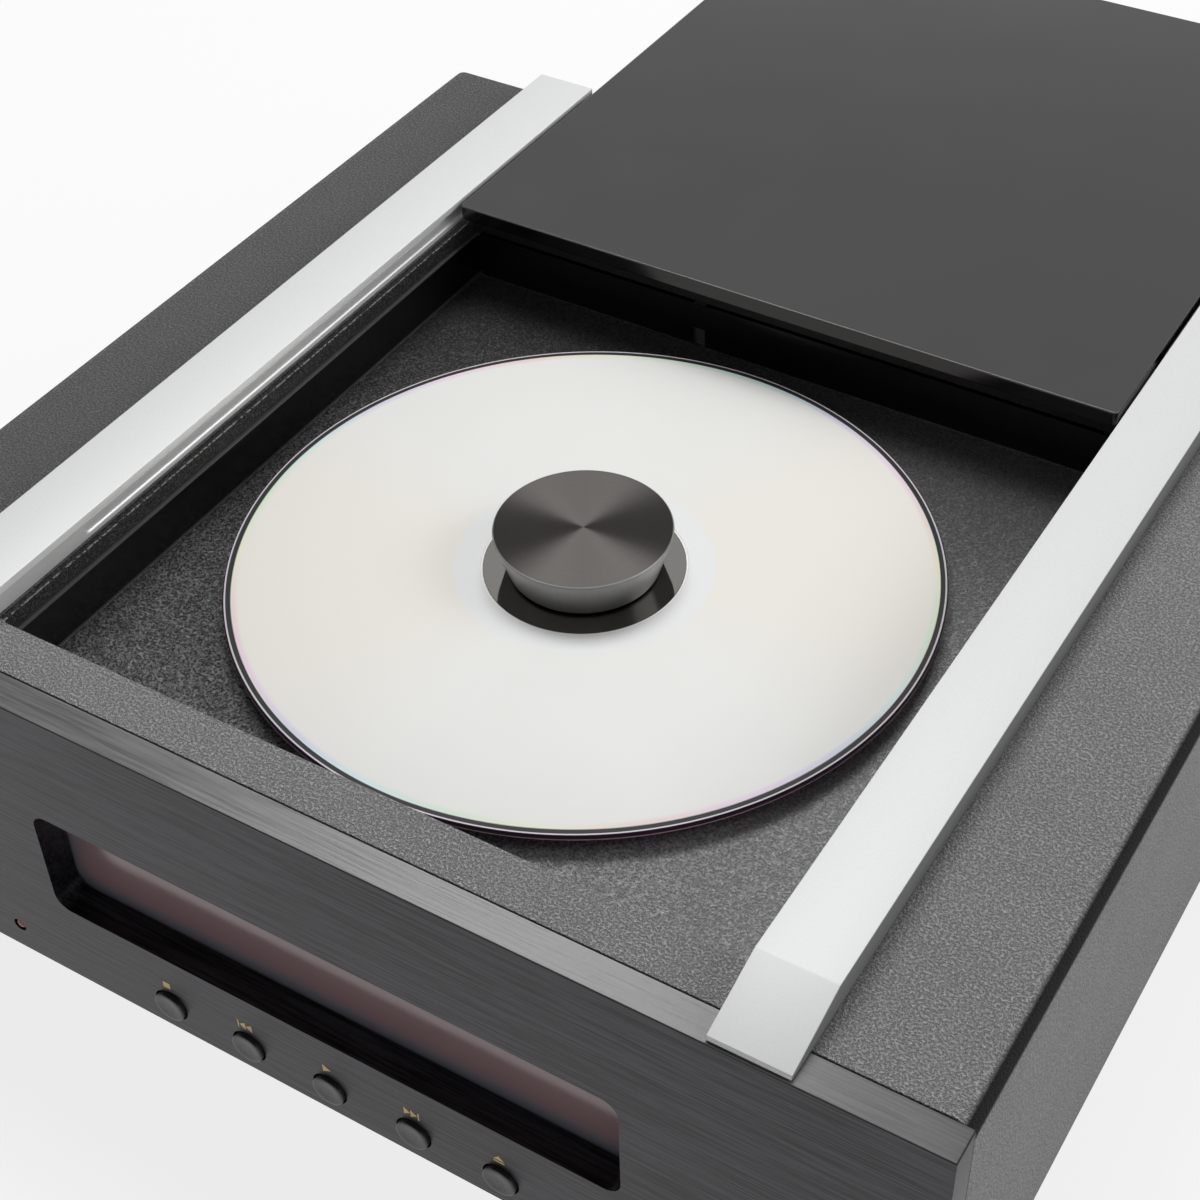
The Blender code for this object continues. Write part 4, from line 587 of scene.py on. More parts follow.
# %% Satin silver
GROOVE_DEPTH, GROOVE_HALF, GROOVE_BELOW_TOP = 1.8 * MM, 1.05 * MM, 1.3 * MM
GROOVE_FRONT_Y, GROOVE_REAR_Y = SPINDLE[1] - 44.3 * MM, SPINDLE[1] + 110.3 * MM
rail_low, rail_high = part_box("right_rail")
silver = Finish("satin_silver", (0.79, 0.795, 0.79), 0.5, 0.12)
blast = silver.noise(0.22 * MM, 3.0)
across, along, upward = silver.split()
over_lip = upward - (rail_high[2] - GROOVE_BELOW_TOP - 2 * GROOVE_HALF)
outside = abs(across).step(rail_high[0] - 0.12 * MM, rail_high[0] - 0.04 * MM)
inside = 1 - abs(across).step(rail_low[0] + 0.04 * MM, rail_low[0] + 0.12 * MM)
lip = (along.step(GROOVE_FRONT_Y - 0.1 * MM, GROOVE_FRONT_Y + 0.3 * MM)
       * over_lip.within(-0.42 * MM, -0.36 * MM, 0.02 * MM, 0.1 * MM))
over_groove = inside * over_lip.step(1.9 * MM, 2.1 * MM)
# Painted light over the groove, a painted highlight on the bevel, and painted shade on the outer faces.
silver.set("Base Color", silver.layers(
    (0.69, 0.697, 0.695), (blast.step(0.3, 0.7), (0.73, 0.737, 0.735)), (over_groove, (0.95, 0.955, 0.95)),
    (lip, grey(0.93)), (outside, (0.26, 0.264, 0.268))))
silver.set("Metallic", lip * 0.35 + 0.12)
silver.set("Roughness", 0.5 + (blast - 0.5) * 0.16 - lip * 0.1)
silver.bump(blast, 0.005 * MM)
print("rails reach from", rail_low[0], "to", rail_high[0])

# %% [markdown]
# The disc is clear plastic, silvered underneath and printed white on its face. The print stops
# short of the edge and of the clear middle, so the face is one turned surface whose colour, gloss
# and metal change with the distance from the spindle. The silver's faint rainbow colours are a
# painted sheen, and so are those of the last millimetre of the print, where the hue runs round with
# the angle. The print is painted warmer at its left and right as the camera sees them, as painted
# warm light.

# %% Print and silver of the disc
def distance(first, second):
    """Distance from an axis: the root of the sum of two squares."""
    return (first * first + second * second).math("SQRT")


def hsv(finish, hue, strength, brightness):
    """Colour from its place on the colour wheel, its strength and its brightness."""
    return finish.node("ShaderNodeCombineColor", {"mode": "HSV"}, {0: hue, 1: strength, 2: brightness})


CLEAR_END, PRINT_START, RING_END, BAND_END, PRINT_EDGE = 16.95 * MM, 17.4 * MM, 20 * MM, 22 * MM, 58.6 * MM
disc_finish = Finish("white_disc_face", (0.78, 0.76, 0.72), 0.3, IOR=1.4)
x, y, z = disc_finish.split((*SPINDLE, 0))
radius, angle = distance(x, y), y.math("ARCTAN2", x)
# Painted rainbow sheen, whose hue runs round with the angle.
hue = ((angle * 2.5 + radius * 700 + 1.2).math("SINE") * 0.5 + 0.5) * 0.8
pale = (angle * 3 + 0.7).math("SINE").step(-0.2, 0.8)
silvered = disc_finish.mix(pale, (0.30, 0.30, 0.31), hsv(disc_finish, hue, 0.24, 0.72))
haze = disc_finish.noise(30 * MM, 2.0, (*SPINDLE, 0)).step(0.25, 0.75)
# Painted warm light on the print, at its left and right as the camera sees them.
painted_warm_light = abs((angle - AROUND).math("COSINE")).step(0.55, 1.0)
rim_hue = (0.1 - (angle + 2.57) * 4 / (2 * math.pi)).math("FRACT")
near_edge = radius.step(PRINT_EDGE - 1.3 * MM, PRINT_EDGE - 0.2 * MM) * 0.8
printed = disc_finish.layers((0.825, 0.825, 0.80), (haze, (0.845, 0.845, 0.82)), (painted_warm_light, (0.855, 0.825, 0.77)),
                             (near_edge, hsv(disc_finish, rim_hue, 0.24, 0.84)))
printed = disc_finish.mix(radius.step(BAND_END - 0.6 * MM, BAND_END + 0.3 * MM), (0.83, 0.84, 0.835), printed)
print("print from", PRINT_START / MM, "to", PRINT_EDGE / MM, "mm")

# %% [markdown]
# Outside the print come the rings that make a disc look like one: a white ring round the clear
# middle, painted as the highlight of the print's edge, a dark ring beyond the print, where the bare
# silver's dark reflection is painted, a thin pale line painted as a highlight at the edge's bevel,
# and the dark edge with a painted pink glow at its foot, where light leaves the plastic. Each ring
# is a step up and a step down along the radius.

# %% Rings of the disc
DARK_RING_START, DARK_RING_END, PALE_LINE, DARK_EDGE = 58.7 * MM, 59.48 * MM, 59.5 * MM, 59.76 * MM
under_face = DISC_TOP - z
on_print = (1 - under_face.step(0.05 * MM, 0.08 * MM)) * radius.inside(PRINT_START, PRINT_EDGE, 0.05 * MM)
clear = 1 - radius.past(CLEAR_END, 0.05 * MM)
# Painted highlight: the white ring. Painted dark reflection: the dark ring.
white_ring = radius.within(CLEAR_END, CLEAR_END + 0.05 * MM, RING_END, RING_END + 1 * MM)
dark_ring = radius.within(DARK_RING_START, DARK_RING_START + 0.08 * MM, DARK_RING_END, DARK_RING_END + 0.07 * MM)
edge_side = under_face.step(0.2 * MM, 0.3 * MM)
# Painted pink glow at the foot of the edge.
edge_tone = disc_finish.mix(edge_side * under_face.step(0.7 * MM, 0.78 * MM), (0.022, 0.008, 0.018),
                            (0.80, 0.45, 0.62))
disc_finish.set("Base Color", disc_finish.layers(
    silvered, (clear, (0.105, 0.102, 0.095)), (white_ring, (0.92, 0.92, 0.91)),
    (radius.past(PALE_LINE, 0.1 * MM), (0.60, 0.55, 0.60)),
    (radius.past(DARK_EDGE, 0.06 * MM), (0.035, 0.015, 0.03)), (dark_ring, (0.012, 0.014, 0.013)),
    (edge_side, edge_tone), (on_print, printed)))
disc_finish.set("Metallic", clear)
disc_finish.set("Roughness", on_print * 0.42 + (1 - on_print) * (1 - clear) * 0.2 + dark_ring * 0.3 + 0.06)
disc_profile = [(7.5, -0.15), (7.65, 0), (16.9, 0), (17.1, -0.12), (17.3, -0.12), (17.4, -0.02), (58.6, 0),
                (58.7, -0.03), (59.8, -0.03), (59.93, -0.1), (60, -0.25), (60, -0.95), (59.8, -1.2), (46, -1.2),
                (18.2, -1.2), (17.9, -1.35), (16.4, -1.35), (16.1, -1.2), (7.65, -1.2), (7.5, -1.05), (7.5, -0.15)]
piece("disc_printed", *turned(np.array(disc_profile) * MM, (*SPINDLE, DISC_TOP), steps=256), disc_finish, "disc",
      ("disc",), "white_disc_face", sharp=25)

# %% [markdown]
# The puck is turned from aluminium and dyed dark. A lathe leaves fine rings on its top and round
# its side, and light is drawn out across them into two pale sectors with dark wedges between. The
# shader's anisotropy does this: its grain runs round the middle of the piece's box. The rings are
# noise along the radius and the height, and a little noise round the angle breaks them up. The side
# is painted much lighter than the top, as painted light on the same dark metal, and the rim of the
# top has a painted highlight.

# %% Puck
PUCK_LIFT, PUCK_HEIGHT, PUCK_RADIUS, RINGS_PER_M, RAY_COUNT = 0.3 * MM, 7.7 * MM, 15 * MM, 9000, 30
puck_finish = Finish("turned_anthracite", (0.16, 0.153, 0.15), 0.3, 1.0, Anisotropic=0.97, Anisotropic_Rotation=0.25)
x, y, z = puck_finish.split((*SPINDLE, 0))
radius = distance(x, y)
rings = puck_finish.node("ShaderNodeTexNoise", {"noise_dimensions": "1D"},
                         {"W": (radius + z) * RINGS_PER_M, "Scale": 1.0, "Detail": 3.0})
around = puck_finish.node("ShaderNodeCombineXYZ", {}, {0: x / radius * RAY_COUNT, 1: y / radius * RAY_COUNT, 2: 0.0})
rays = puck_finish.node("ShaderNodeTexNoise", {}, {"Vector": around, "Scale": 1.0, "Detail": 3.0})
over_face = z - (DISC_TOP + PUCK_HEIGHT)
on_top = over_face.step(-0.2 * MM, 0.0)
# Painted highlight on the rim of the top.
rim = over_face.step(-0.15 * MM, -0.05 * MM) * radius.step(PUCK_RADIUS - 0.28 * MM, PUCK_RADIUS - 0.2 * MM)
top_tone = puck_finish.mix(rings * 0.9 + rays * 0.1, (0.031, 0.029, 0.028), (0.131, 0.122, 0.117))
# Painted light: the side's tone is much lighter than the top's.
lit_side_tone = puck_finish.mix(rings * 0.8 + rays * 0.2, (0.24, 0.235, 0.228), (0.62, 0.61, 0.60))
puck_finish.set("Base Color", puck_finish.layers(lit_side_tone, (on_top, top_tone), (rim, (0.30, 0.30, 0.295))))
puck_finish.set("Metallic", 1 - rim * 0.7)
puck_finish.set("Roughness", (rings * 0.08 + 0.27) * (1 - on_top) + (rings * 0.06 + 0.37) * on_top)
puck_finish.bump(rings, 0.001 * MM)
puck_profile = softened([(6.3, 3.6), (6.3, 0.0), (12.55, 0.0), (12.8, 0.28), (14.93, 7.25), (15.0, 7.5), (14.8, 7.7),
                         (0, 7.7)], 0.12, 3)
puck_profile = np.concatenate([[(0, 3.6)], puck_profile])
piece("puck_turned", *turned(puck_profile * MM, (*SPINDLE, DISC_TOP + PUCK_LIFT), steps=192), puck_finish, "puck",
      ("puck",), "turned_anthracite", sharp=25)

# %% [markdown]
# Each bright rail is milled from a bar: a ramp at its front, a flat top, and a groove with round
# ends along its inner face, which guides the lid, with a fine bevel below it. One section is
# carried along the rail. Its height follows the ramp, and the groove opens and closes like a half
# circle at its two ends.

# %% Rails
RAIL_ROUNDING, RAIL_LIFT, RAIL_BEVEL, RAMP_DROP = 0.16 * MM, 0.3 * MM, 0.38 * MM, 3.85 * MM
CREASE_Y = SPINDLE[1] - 66.35 * MM


def rail_section(width, low_z, top, groove_z, half, depth):
    """Closed section from the middle of the underside: up the inner face, over the bevel, round the
    groove, whose floor follows depth times the cube root of 1 - t^3, over the top and down the
    outer face."""
    t = np.linspace(-1, 1, 9)[1:-1]
    groove = np.stack([depth * (1 - abs(t) ** 3) ** (1 / 3), groove_z + half * t], axis=-1)
    cut = min(RAIL_BEVEL, half / 3)
    corners = [(width / 2, low_z), (0, low_z), (0, groove_z - half - cut), (cut * 0.8, groove_z - half),
               *groove, (0, groove_z + half), (0, top), (width, top), (width, low_z), (width / 2, low_z)]
    return softened(corners, RAIL_ROUNDING, 3)


def rail_surface(node, side):
    """Carry the section along Y: sections (station, point, 2) become points (x, y, z)."""
    low, high = np.array(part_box(node))
    low_z, top = COVER_TOP + RAIL_LIFT, float(high[2])
    inner, width = min(abs(low[0]), abs(high[0])), float(high[0] - low[0])
    groove_z = top - GROOVE_BELOW_TOP - GROOVE_HALF
    fade = (1 - np.cos(np.linspace(0, math.pi / 2, 9))) * GROOVE_HALF
    ramp = np.array([low[1] + 0.01 * MM, low[1] + RAIL_ROUNDING,
                     CREASE_Y - 0.4 * MM, CREASE_Y, CREASE_Y + 0.4 * MM])
    stations = np.concatenate([ramp, GROOVE_FRONT_Y + fade, (GROOVE_REAR_Y - fade)[::-1],
                               [high[1] - RAIL_ROUNDING, high[1] - 0.01 * MM]])
    reach = np.clip(np.minimum(stations - GROOVE_FRONT_Y, GROOVE_REAR_Y - stations), 0, GROOVE_HALF)
    halves = np.sqrt(GROOVE_HALF ** 2 - (GROOVE_HALF - reach) ** 2)
    tops = np.interp(stations, [low[1], CREASE_Y - 0.3 * MM, CREASE_Y + 0.3 * MM],
                     [top - RAMP_DROP, top - 0.02 * MM, top])
    sections = [rail_section(width, low_z, z, min(groove_z, (low_z + z) / 2), max(half, 0.02 * MM),
                             GROOVE_DEPTH if half > 0 else 1e-6)
                for z, half in zip(tops, halves)]
    sections = np.array(sections)[:, :-1]
    for end in (0, -1):
        sections[end, :, 0] = np.clip(sections[end, :, 0], RAIL_ROUNDING, width - RAIL_ROUNDING)
        sections[end, :, 1] = np.clip(sections[end, :, 1], low_z, tops[end] - RAIL_ROUNDING)
    points = np.stack([side * (inner + sections[..., 0]), np.repeat(stations[:, None], sections.shape[1], 1),
                       sections[..., 1]], axis=-1)
    rows, columns = sections.shape[:2]
    ends = [list(range(columns))[::-1], list(range((rows - 1) * columns, rows * columns))]
    return points, faces_of_grid(rows, columns, True).tolist() + ends


for node, side in (("left_rail", -1), ("right_rail", 1)):
    piece(node + "_milled", *rail_surface(node, side), silver, "root", (node,), "satin_silver", sharp=30)

# %% [markdown]
# The cover is 3 mm sheet, bent down at both sides, with a rectangular opening over the well. It is
# drawn flat, with creases where it bends, and then wrapped: a point's way across the sheet becomes
# a way along the flat top, round the bend and down the side. A small rounding softens every cut.

# %% Top cover
COVER_SHEET, BEND, SCREW_HOLE = 3.0 * MM, 3.3 * MM, 3.05 * MM
OPENING_HALF, OPENING_FRONT, OPENING_REAR = 66.3 * MM, SPINDLE[1] - 65.7 * MM, SPINDLE[1] + 67.5 * MM
cover_low, cover_high = np.array(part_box("top_cover"))
flat_half, bend_length = float(cover_high[0]) - BEND, BEND * math.pi / 2
sheet_half = flat_half + bend_length + COVER_TOP - BEND - float(cover_low[2])


def wrapped(points):
    """Along the top up to the bend, then round it by the angle (way past the start) / radius, then
    straight down. Depth is taken off the radius of the bend."""
    across, along, depth = points.T
    way = abs(across)
    turn = np.clip(way - flat_half, 0, bend_length) / BEND
    down = np.clip(way - flat_half - bend_length, 0, None)
    x = np.sign(across) * (np.minimum(way, flat_half) + (BEND - depth) * np.sin(turn))
    z = COVER_TOP - BEND + (BEND - depth) * np.cos(turn) - down
    return np.stack([x, along, z], axis=-1)


loops = [rounded_loop((-sheet_half, cover_low[1]), (sheet_half, cover_high[1]), 0.4 * MM, 2),
         rounded_loop((-OPENING_HALF, OPENING_FRONT), (OPENING_HALF, OPENING_REAR), 0.6 * MM, 4)]
CORNERS = ("left_front", "left_rear", "right_front", "right_rear")
for corner in CORNERS:
    middle = np.mean(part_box("cover_screw_" + corner), axis=0)
    way = flat_half + bend_length + COVER_TOP - BEND - middle[2]
    loops.append(round_loop((math.copysign(way, middle[0]), middle[1]), SCREW_HOLE))
bends = flat_half + np.linspace(0, bend_length, 9)
creases = [[(side * bend, cover_low[1]), (side * bend, cover_high[1])] for side in (-1, 1) for bend in bends]
points, faces = slab(loops, COVER_SHEET, creases)
piece("top_cover_sheet", wrapped(points), faces, paint, "root", ("top_cover",),
      "textured_black_paint", bevel=0.14 * MM)

# %% [markdown]
# The front panel is a thick plate with a rounded opening for the display, five button holes, one
# for the power button and a tiny one for its light. It could be cut with booleans, but drawn as
# loops and given its depth it gets clean walls at once.

# %% Front panel
PANEL_DEPTH, BUTTON_HOLE, LIGHT_HOLE, WINDOW_CORNER = 5.5 * MM, 3.3 * MM, 1.3 * MM, 3.0 * MM
front_y = float(panel_low[1])
window = ((-54.2 * MM, 26.25 * MM), (54.2 * MM, 48.75 * MM))
buttons = ("button_stop", "button_back", "button_play", "button_next", "button_open", "power_button")
button_places = {name: np.mean(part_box(name), axis=0) for name in buttons + ("power_light",)}
loops = [rounded_loop(panel_low[[0, 2]], panel_high[[0, 2]], 0.4 * MM, 2), rounded_loop(*window, WINDOW_CORNER, 8)]
for name, place in button_places.items():
    loops.append(round_loop(place[[0, 2]], LIGHT_HOLE if name == "power_light" else BUTTON_HOLE, 10))
piece("front_panel_brushed", *upright(slab(loops, PANEL_DEPTH), (0, front_y, 0)), panel_finish, "root",
      ("front_panel",), "brushed_black_aluminium", bevel=0.16 * MM)

# %% [markdown]
# The rear panel is a thin sheet with a round hole for each socket and each screw. It is made like
# the front, from loops, and its depth runs forwards from the rear face.

# %% Rear panel
SOCKET_RISE = 6.6 * MM
rear_low, rear_high = np.array(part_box("rear_panel"))
loops = [rounded_loop(rear_low[[0, 2]], rear_high[[0, 2]], 0.5 * MM, 2)]
for name, hole in (("phono_socket_left", 4.5), ("phono_socket_right", 4.5), ("digital_socket", 4.5),
                   ("power_inlet", 4.3), ("rear_screw_left", 1.8), ("rear_screw_right", 1.8)):
    low, high = np.array(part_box(name))
    place = ((low[0] + high[0]) / 2, (low[2] + high[2]) / 2 if "screw" in name else low[2] + SOCKET_RISE)
    loops.append(round_loop(place, hole * MM, 8))
plate = slab(loops, rear_high[1] - rear_low[1])
piece("rear_panel_sheet", *upright(plate, (0, rear_high[1], 0), -1), paint, "root", ("rear_panel",),
      "textured_black_paint", bevel=0.15 * MM)

# %% [markdown]
# The lid is a plain sheet of smoked acrylic with rounded corners. It is so dark that it needs no
# real transparency: its top face is a little paler than its edges, and glossy with a faint haze.

# %% Lid
lid_low, lid_high = np.array(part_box("lid"))
lid_finish = Finish("smoked_acrylic", grey(0.02), 0.16, IOR=1.49)
top_face = lid_finish.split()[2].step(lid_high[2] - 0.3 * MM, lid_high[2] - 0.1 * MM)
lid_finish.set("Base Color", lid_finish.mix(top_face, grey(0.006), grey(0.080)))
lid_finish.set("Roughness", lid_finish.noise(20 * MM, 3.0) * 0.08 + 0.12)
lid_finish.bump(lid_finish.noise(0.4 * MM, 2.0), 0.0008 * MM)
points, faces = slab([rounded_loop(lid_low[:2], lid_high[:2], 1.0 * MM, 5)], lid_high[2] - lid_low[2])
points[:, 2] = lid_high[2] - points[:, 2]
piece("lid_smoked", points, faces, lid_finish, "lid", ("lid",), "smoked_acrylic", bevel=0.3 * MM, segments=3)

# %% [markdown]
# Behind the opening lies a smoked window with a red display behind it. The window lets a little of
# the red through, so it is a glossy sheet whose Alpha is just under 1, and a soft red band on it is
# painted light that stands for what shines from behind. Above its lowest millimetre the sheet is
# painted a pale blue grey, a painted reflection of the room.

# %% Window
sheet_low, sheet_high = np.array(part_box("display_window"))
window_finish = Finish("smoked_window", (0.05, 0.05, 0.06), 0.05, Alpha=0.9, IOR=1.65)
x, y, z = window_finish.split()
# Painted red light from the display, and the pane's painted reflection of the room.
painted_red_glow = (x.within(sheet_low[0] + 1.5 * MM, sheet_low[0] + 7 * MM, sheet_high[0] - 7 * MM,
                     sheet_high[0] - 1.5 * MM) * z.step(sheet_low[2] + 3.5 * MM, sheet_low[2] + 7.5 * MM))
pane = z.step(sheet_low[2] + 0.8 * MM, sheet_low[2] + 1.2 * MM)
window_finish.set("Base Color", window_finish.layers(
    (0.02, 0.02, 0.024), (pane, (0.235, 0.235, 0.28)), (painted_red_glow, (0.335, 0.22, 0.23))))
window_finish.set("Roughness", window_finish.noise(10 * MM, 2.0) * 0.05 + 0.12)
sheet = slab([rounded_loop(sheet_low[[0, 2]], sheet_high[[0, 2]], 1.0 * MM, 4)], sheet_high[1] - sheet_low[1])
piece("display_window_sheet", *upright(sheet, (0, sheet_low[1], 0)), window_finish, "root", ("display_window",),
      "smoked_window", bevel=0.2 * MM)

# %% [markdown]
# The display is dark red and switched off, and its glow is painted light: it glows only as much as
# the red that the room would light in it. It fades towards its edges, and two crossed sines draw its
# fine mesh of dots.

# %% Display
DOTS_PER_M = 9000
display_low, display_high = np.array(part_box("display_module"))
display_finish = Finish("display_red", (0.16, 0.03, 0.024), 0.35)
x, y, z = display_finish.split()
fade = (x.within(display_low[0], display_low[0] + 5 * MM, display_high[0] - 5 * MM, display_high[0])
        * z.within(display_low[2], display_low[2] + 3 * MM, display_high[2] - 3 * MM, display_high[2]))
dots = (x * DOTS_PER_M).math("SINE") * (z * DOTS_PER_M).math("SINE") * 0.15 + 0.85
# Painted light: the glow that the room would light in the switched-off display.
glow_tone = display_finish.mix(fade * dots, (0.020, 0.012, 0.012), (0.105, 0.040, 0.036))
display_finish.set("Emission Color", glow_tone)
display_finish.set("Emission Strength", 1.0)
dress(["display_module"], display_finish)

# %% [markdown]
# Five small round buttons and the power button are turned, with a soft edge and a slightly hollow
# face. Each rides on its own body, so that it can be pressed, and has a flange behind the panel.

# %% Buttons
BUTTON_CLEARANCE = 0.3 * MM
button_finish = Finish("button_black", (0.045, 0.045, 0.05), 0.32, 0.6)
swirl = button_finish.noise(0.2 * MM, 3.0)
tone = button_finish.mix(swirl.step(0.3, 0.7), (0.035, 0.035, 0.038), (0.08, 0.08, 0.085))
button_finish.set("Base Color", tone)
button_finish.set("Roughness", swirl * 0.15 + 0.25)
button_finish.bump(swirl, 0.006 * MM)
for name in buttons:
    low, high = np.array(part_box(name))
    middle, reach = (low + high) / 2, float(high[1] - low[1]) / MM
    back = (front_y + PANEL_DEPTH + BUTTON_CLEARANCE - low[1]) / MM
    shape = [(0, 0.12), (1.2, 0.1), (2.3, 0.0), (3.0, 0.0), (3.0, back), (3.65, back), (3.65, back + 0.9),
             (1.45, back + 0.9), (1.45, reach), (0, reach)]
    profile = np.concatenate([softened(shape[:5], 0.35, 4)[:-1], shape[4:]])
    surface = turned(profile * MM, (middle[0], low[1], middle[2]), "Y", 48)
    piece(name + "_turned", *surface, button_finish, name, (name,), "button_black", sharp=30)

# %% [markdown]
# The power light is a tiny dome of red plastic at the end of a pin. Its outline is a quarter circle
# pressed flat, and turning that outline gives the dome.

# %% Power light
light_finish = Finish("power_lens", (0.35, 0.06, 0.04), 0.15)
light_finish.pattern(light_finish.noise(0.6 * MM, 2.0), (0.30, 0.05, 0.035), (0.40, 0.08, 0.05))
low, high = np.array(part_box("power_light"))
middle, reach = (low + high) / 2, float(high[1] - low[1]) / MM
t = np.linspace(0, math.pi / 2, 9)
dome = np.stack([np.sin(t), 0.45 * (1 - np.cos(t))], axis=-1).tolist()
surface = turned(np.array(dome + [(1.0, reach), (0, reach)]) * MM, (middle[0], low[1], middle[2]), "Y", 32)
piece("power_light_dome", *surface, light_finish, "root", ("power_light",), "display_red", sharp=40)

# %% [markdown]
# Over the buttons stand gilt signs of the plainest kind: square, triangles and bars. They are
# printed on the real front, so each is a plate so thin that it hardly stands out of the face.

# %% Signs
gilt = Finish("gilt_paint", (0.52, 0.37, 0.13), 0.4, 0.6)
gilt.pattern(gilt.noise(0.2 * MM, 2.0), (0.46, 0.33, 0.11), (0.60, 0.44, 0.17))
SIGN_RISE, SIGN_HALF, SIGN_DEPTH, SIGN_STANDS_OUT = 5.3 * MM, 0.9 * MM, 0.05 * MM, 0.03 * MM
signs = {
    "button_stop": [[(-0.8, -0.8), (0.8, -0.8), (0.8, 0.8), (-0.8, 0.8)]],
    "button_back": [[(0.1, -1), (0.1, 1), (-1.3, 0)], [(1.5, -1), (1.5, 1), (0.15, 0)],
                    [(-1.7, -1), (-1.4, -1), (-1.4, 1), (-1.7, 1)]],
    "button_play": [[(-0.8, -1), (1.0, 0), (-0.8, 1)]],
    "button_next": [[(-0.1, -1), (1.3, 0), (-0.1, 1)], [(-1.5, -1), (-0.15, 0), (-1.5, 1)],
                    [(1.4, -1), (1.7, -1), (1.7, 1), (1.4, 1)]],
    "button_open": [[(-1.1, -0.2), (1.1, -0.2), (0, 1)], [(-1.1, -0.9), (1.1, -0.9), (1.1, -0.5), (-1.1, -0.5)]],
}
for name, shapes in signs.items():
    place = button_places[name]
    sign = joined([slab([np.array(shape) * SIGN_HALF], SIGN_DEPTH) for shape in shapes])
    place = (place[0], front_y - SIGN_STANDS_OUT, place[2] + SIGN_RISE)
    piece(name.replace("button", "sign"), *upright(sign, place), gilt, "root", slot="gilt_brass")

# %% [markdown]
# The feet are moulded in black rubber, with a groove round the middle and a hollow below. Dust
# lies on rubber unevenly, so a noise makes it paler and duller in places.

# %% Feet
rubber = Finish("black_rubber", grey(0.022), 0.8)
dust = rubber.noise(2 * MM, 4.0)
rubber.set("Base Color", rubber.mix(dust.step(0.4, 0.8), grey(0.018), (0.045, 0.044, 0.042)))
rubber.set("Roughness", dust * 0.2 + 0.65)
rubber.bump(rubber.noise(0.4 * MM, 3.0), 0.02 * MM)
for corner in CORNERS:
    low, high = np.array(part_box("foot_" + corner))
    middle, reach = (low + high) / 2, float(high[2]) / MM
    shape = [(0, 0.35), (7.6, 0.35), (7.9, 0.0), (9.6, 0.0), (10.0, 0.5), (10.6, 1.2), (10.6, 2.9), (10.1, 3.1),
             (10.1, 3.7), (10.6, 3.9), (11.0, 4.3), (11.0, 7.75), (1.1, 7.75), (1.1, reach), (0, reach)]
    surface = turned(softened(shape, 0.3, 3) * MM, (middle[0], middle[1], 0), "Z", 64)
    piece("foot_" + corner + "_turned", *surface, rubber, "root", ("foot_" + corner,), "black_rubber", sharp=50)

# %% [markdown]
# The screws have low domed heads with a six-sided recess, whose reach from the middle is the
# apothem over the cosine of the angle to the nearest flat. One surface serves them all: it is
# worked out once and then turned to face out of its side of the case.

# %% Screws
black_steel = Finish("blackened_steel", (0.03, 0.03, 0.032), 0.35, 0.8)
black_steel.set("Roughness", black_steel.noise(0.5 * MM, 4.0) * 0.3 + 0.22)
SCREW_HEAD = 1.8 * MM


def screw_surface(steps=48):
    """Rings from the recess's floor out over the head and down the shank, as (across, along, out):
    the recess's rings follow a hexagon, the others a circle."""
    angle = np.linspace(0, 2 * math.pi, steps, endpoint=False)
    hexagon = 1 / np.cos((angle + math.pi / 6) % (math.pi / 3) - math.pi / 6)
    rings = [(0, 0.6, 0), (1.15, 0.6, 1), (1.15, 1.5, 1), (1.3, 1.68, 1), (1.75, 1.78, 0), (2.2, 1.7, 0),
             (2.6, 1.35, 0), (2.74, 0.9, 0), (2.75, 0.1, 0), (2.65, 0, 0), (1.5, 0, 0), (1.5, -4.5, 0), (0, -4.5, 0)]
    reach, out, six = np.array(rings).T[:, :, None]
    radius = reach * np.where(six == 1, hexagon, 1.0)
    out = out * np.ones(steps)
    return np.stack([radius * np.cos(angle), radius * np.sin(angle), out], axis=-1) * MM


screw_rings = screw_surface()
screw_faces = faces_of_grid(*screw_rings.shape[:2], True)
for start, x, y in (("cover_screw_left", -1.0, 0.0), ("cover_screw_right", 1.0, 0.0), ("rear_screw", 0.0, 1.0)):
    out = np.array((x, y, 0.0))
    for name in sorted(node for node in nodes if node.startswith(start)):
        low, high = np.array(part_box(name))
        seat = np.where(out > 0, high - SCREW_HEAD, np.where(out < 0, low + SCREW_HEAD, (low + high) / 2))
        points = seat + screw_rings @ np.stack([(y, -x, 0.0), (0.0, 0.0, 1.0), out])
        piece(name + "_head", points, screw_faces, black_steel, "root", (name,), "plain_steel", sharp=40)

# %% [markdown]
# At the back are two analogue sockets with gilt shells and a white and a red ring, a digital socket
# with a black ring, and a low-voltage inlet. Each is a turned nose on a moulded block, and its
# colour changes with the distance from its own axis, so one finish covers shell, ring and bore.

# %% Sockets
def socket_finish(name, place, ring, shell, metallic):
    """Shell colour outside, ring colour inside it, and painted shade in the bore."""
    finish = Finish(name, shell, 0.25)
    x, _, z = finish.split((place[0], 0, place[1]))
    radius = distance(x, z)
    shell_part = radius.within(3.15 * MM, 3.2 * MM, 4.9 * MM, 5.0 * MM)
    cloud = finish.noise(0.8 * MM, 3.0)
    shell_tone = finish.mix(cloud, shell, tuple(min(1.0, part * 1.25) for part in shell))
    # Painted shade in the bore.
    inner = finish.mix(radius.step(1.75 * MM, 1.85 * MM), grey(0.01), ring)
    finish.set("Base Color", finish.mix(shell_part, inner, shell_tone))
    finish.set("Metallic", shell_part * metallic)
    finish.set("Roughness", cloud * 0.2 + 0.2)
    return finish


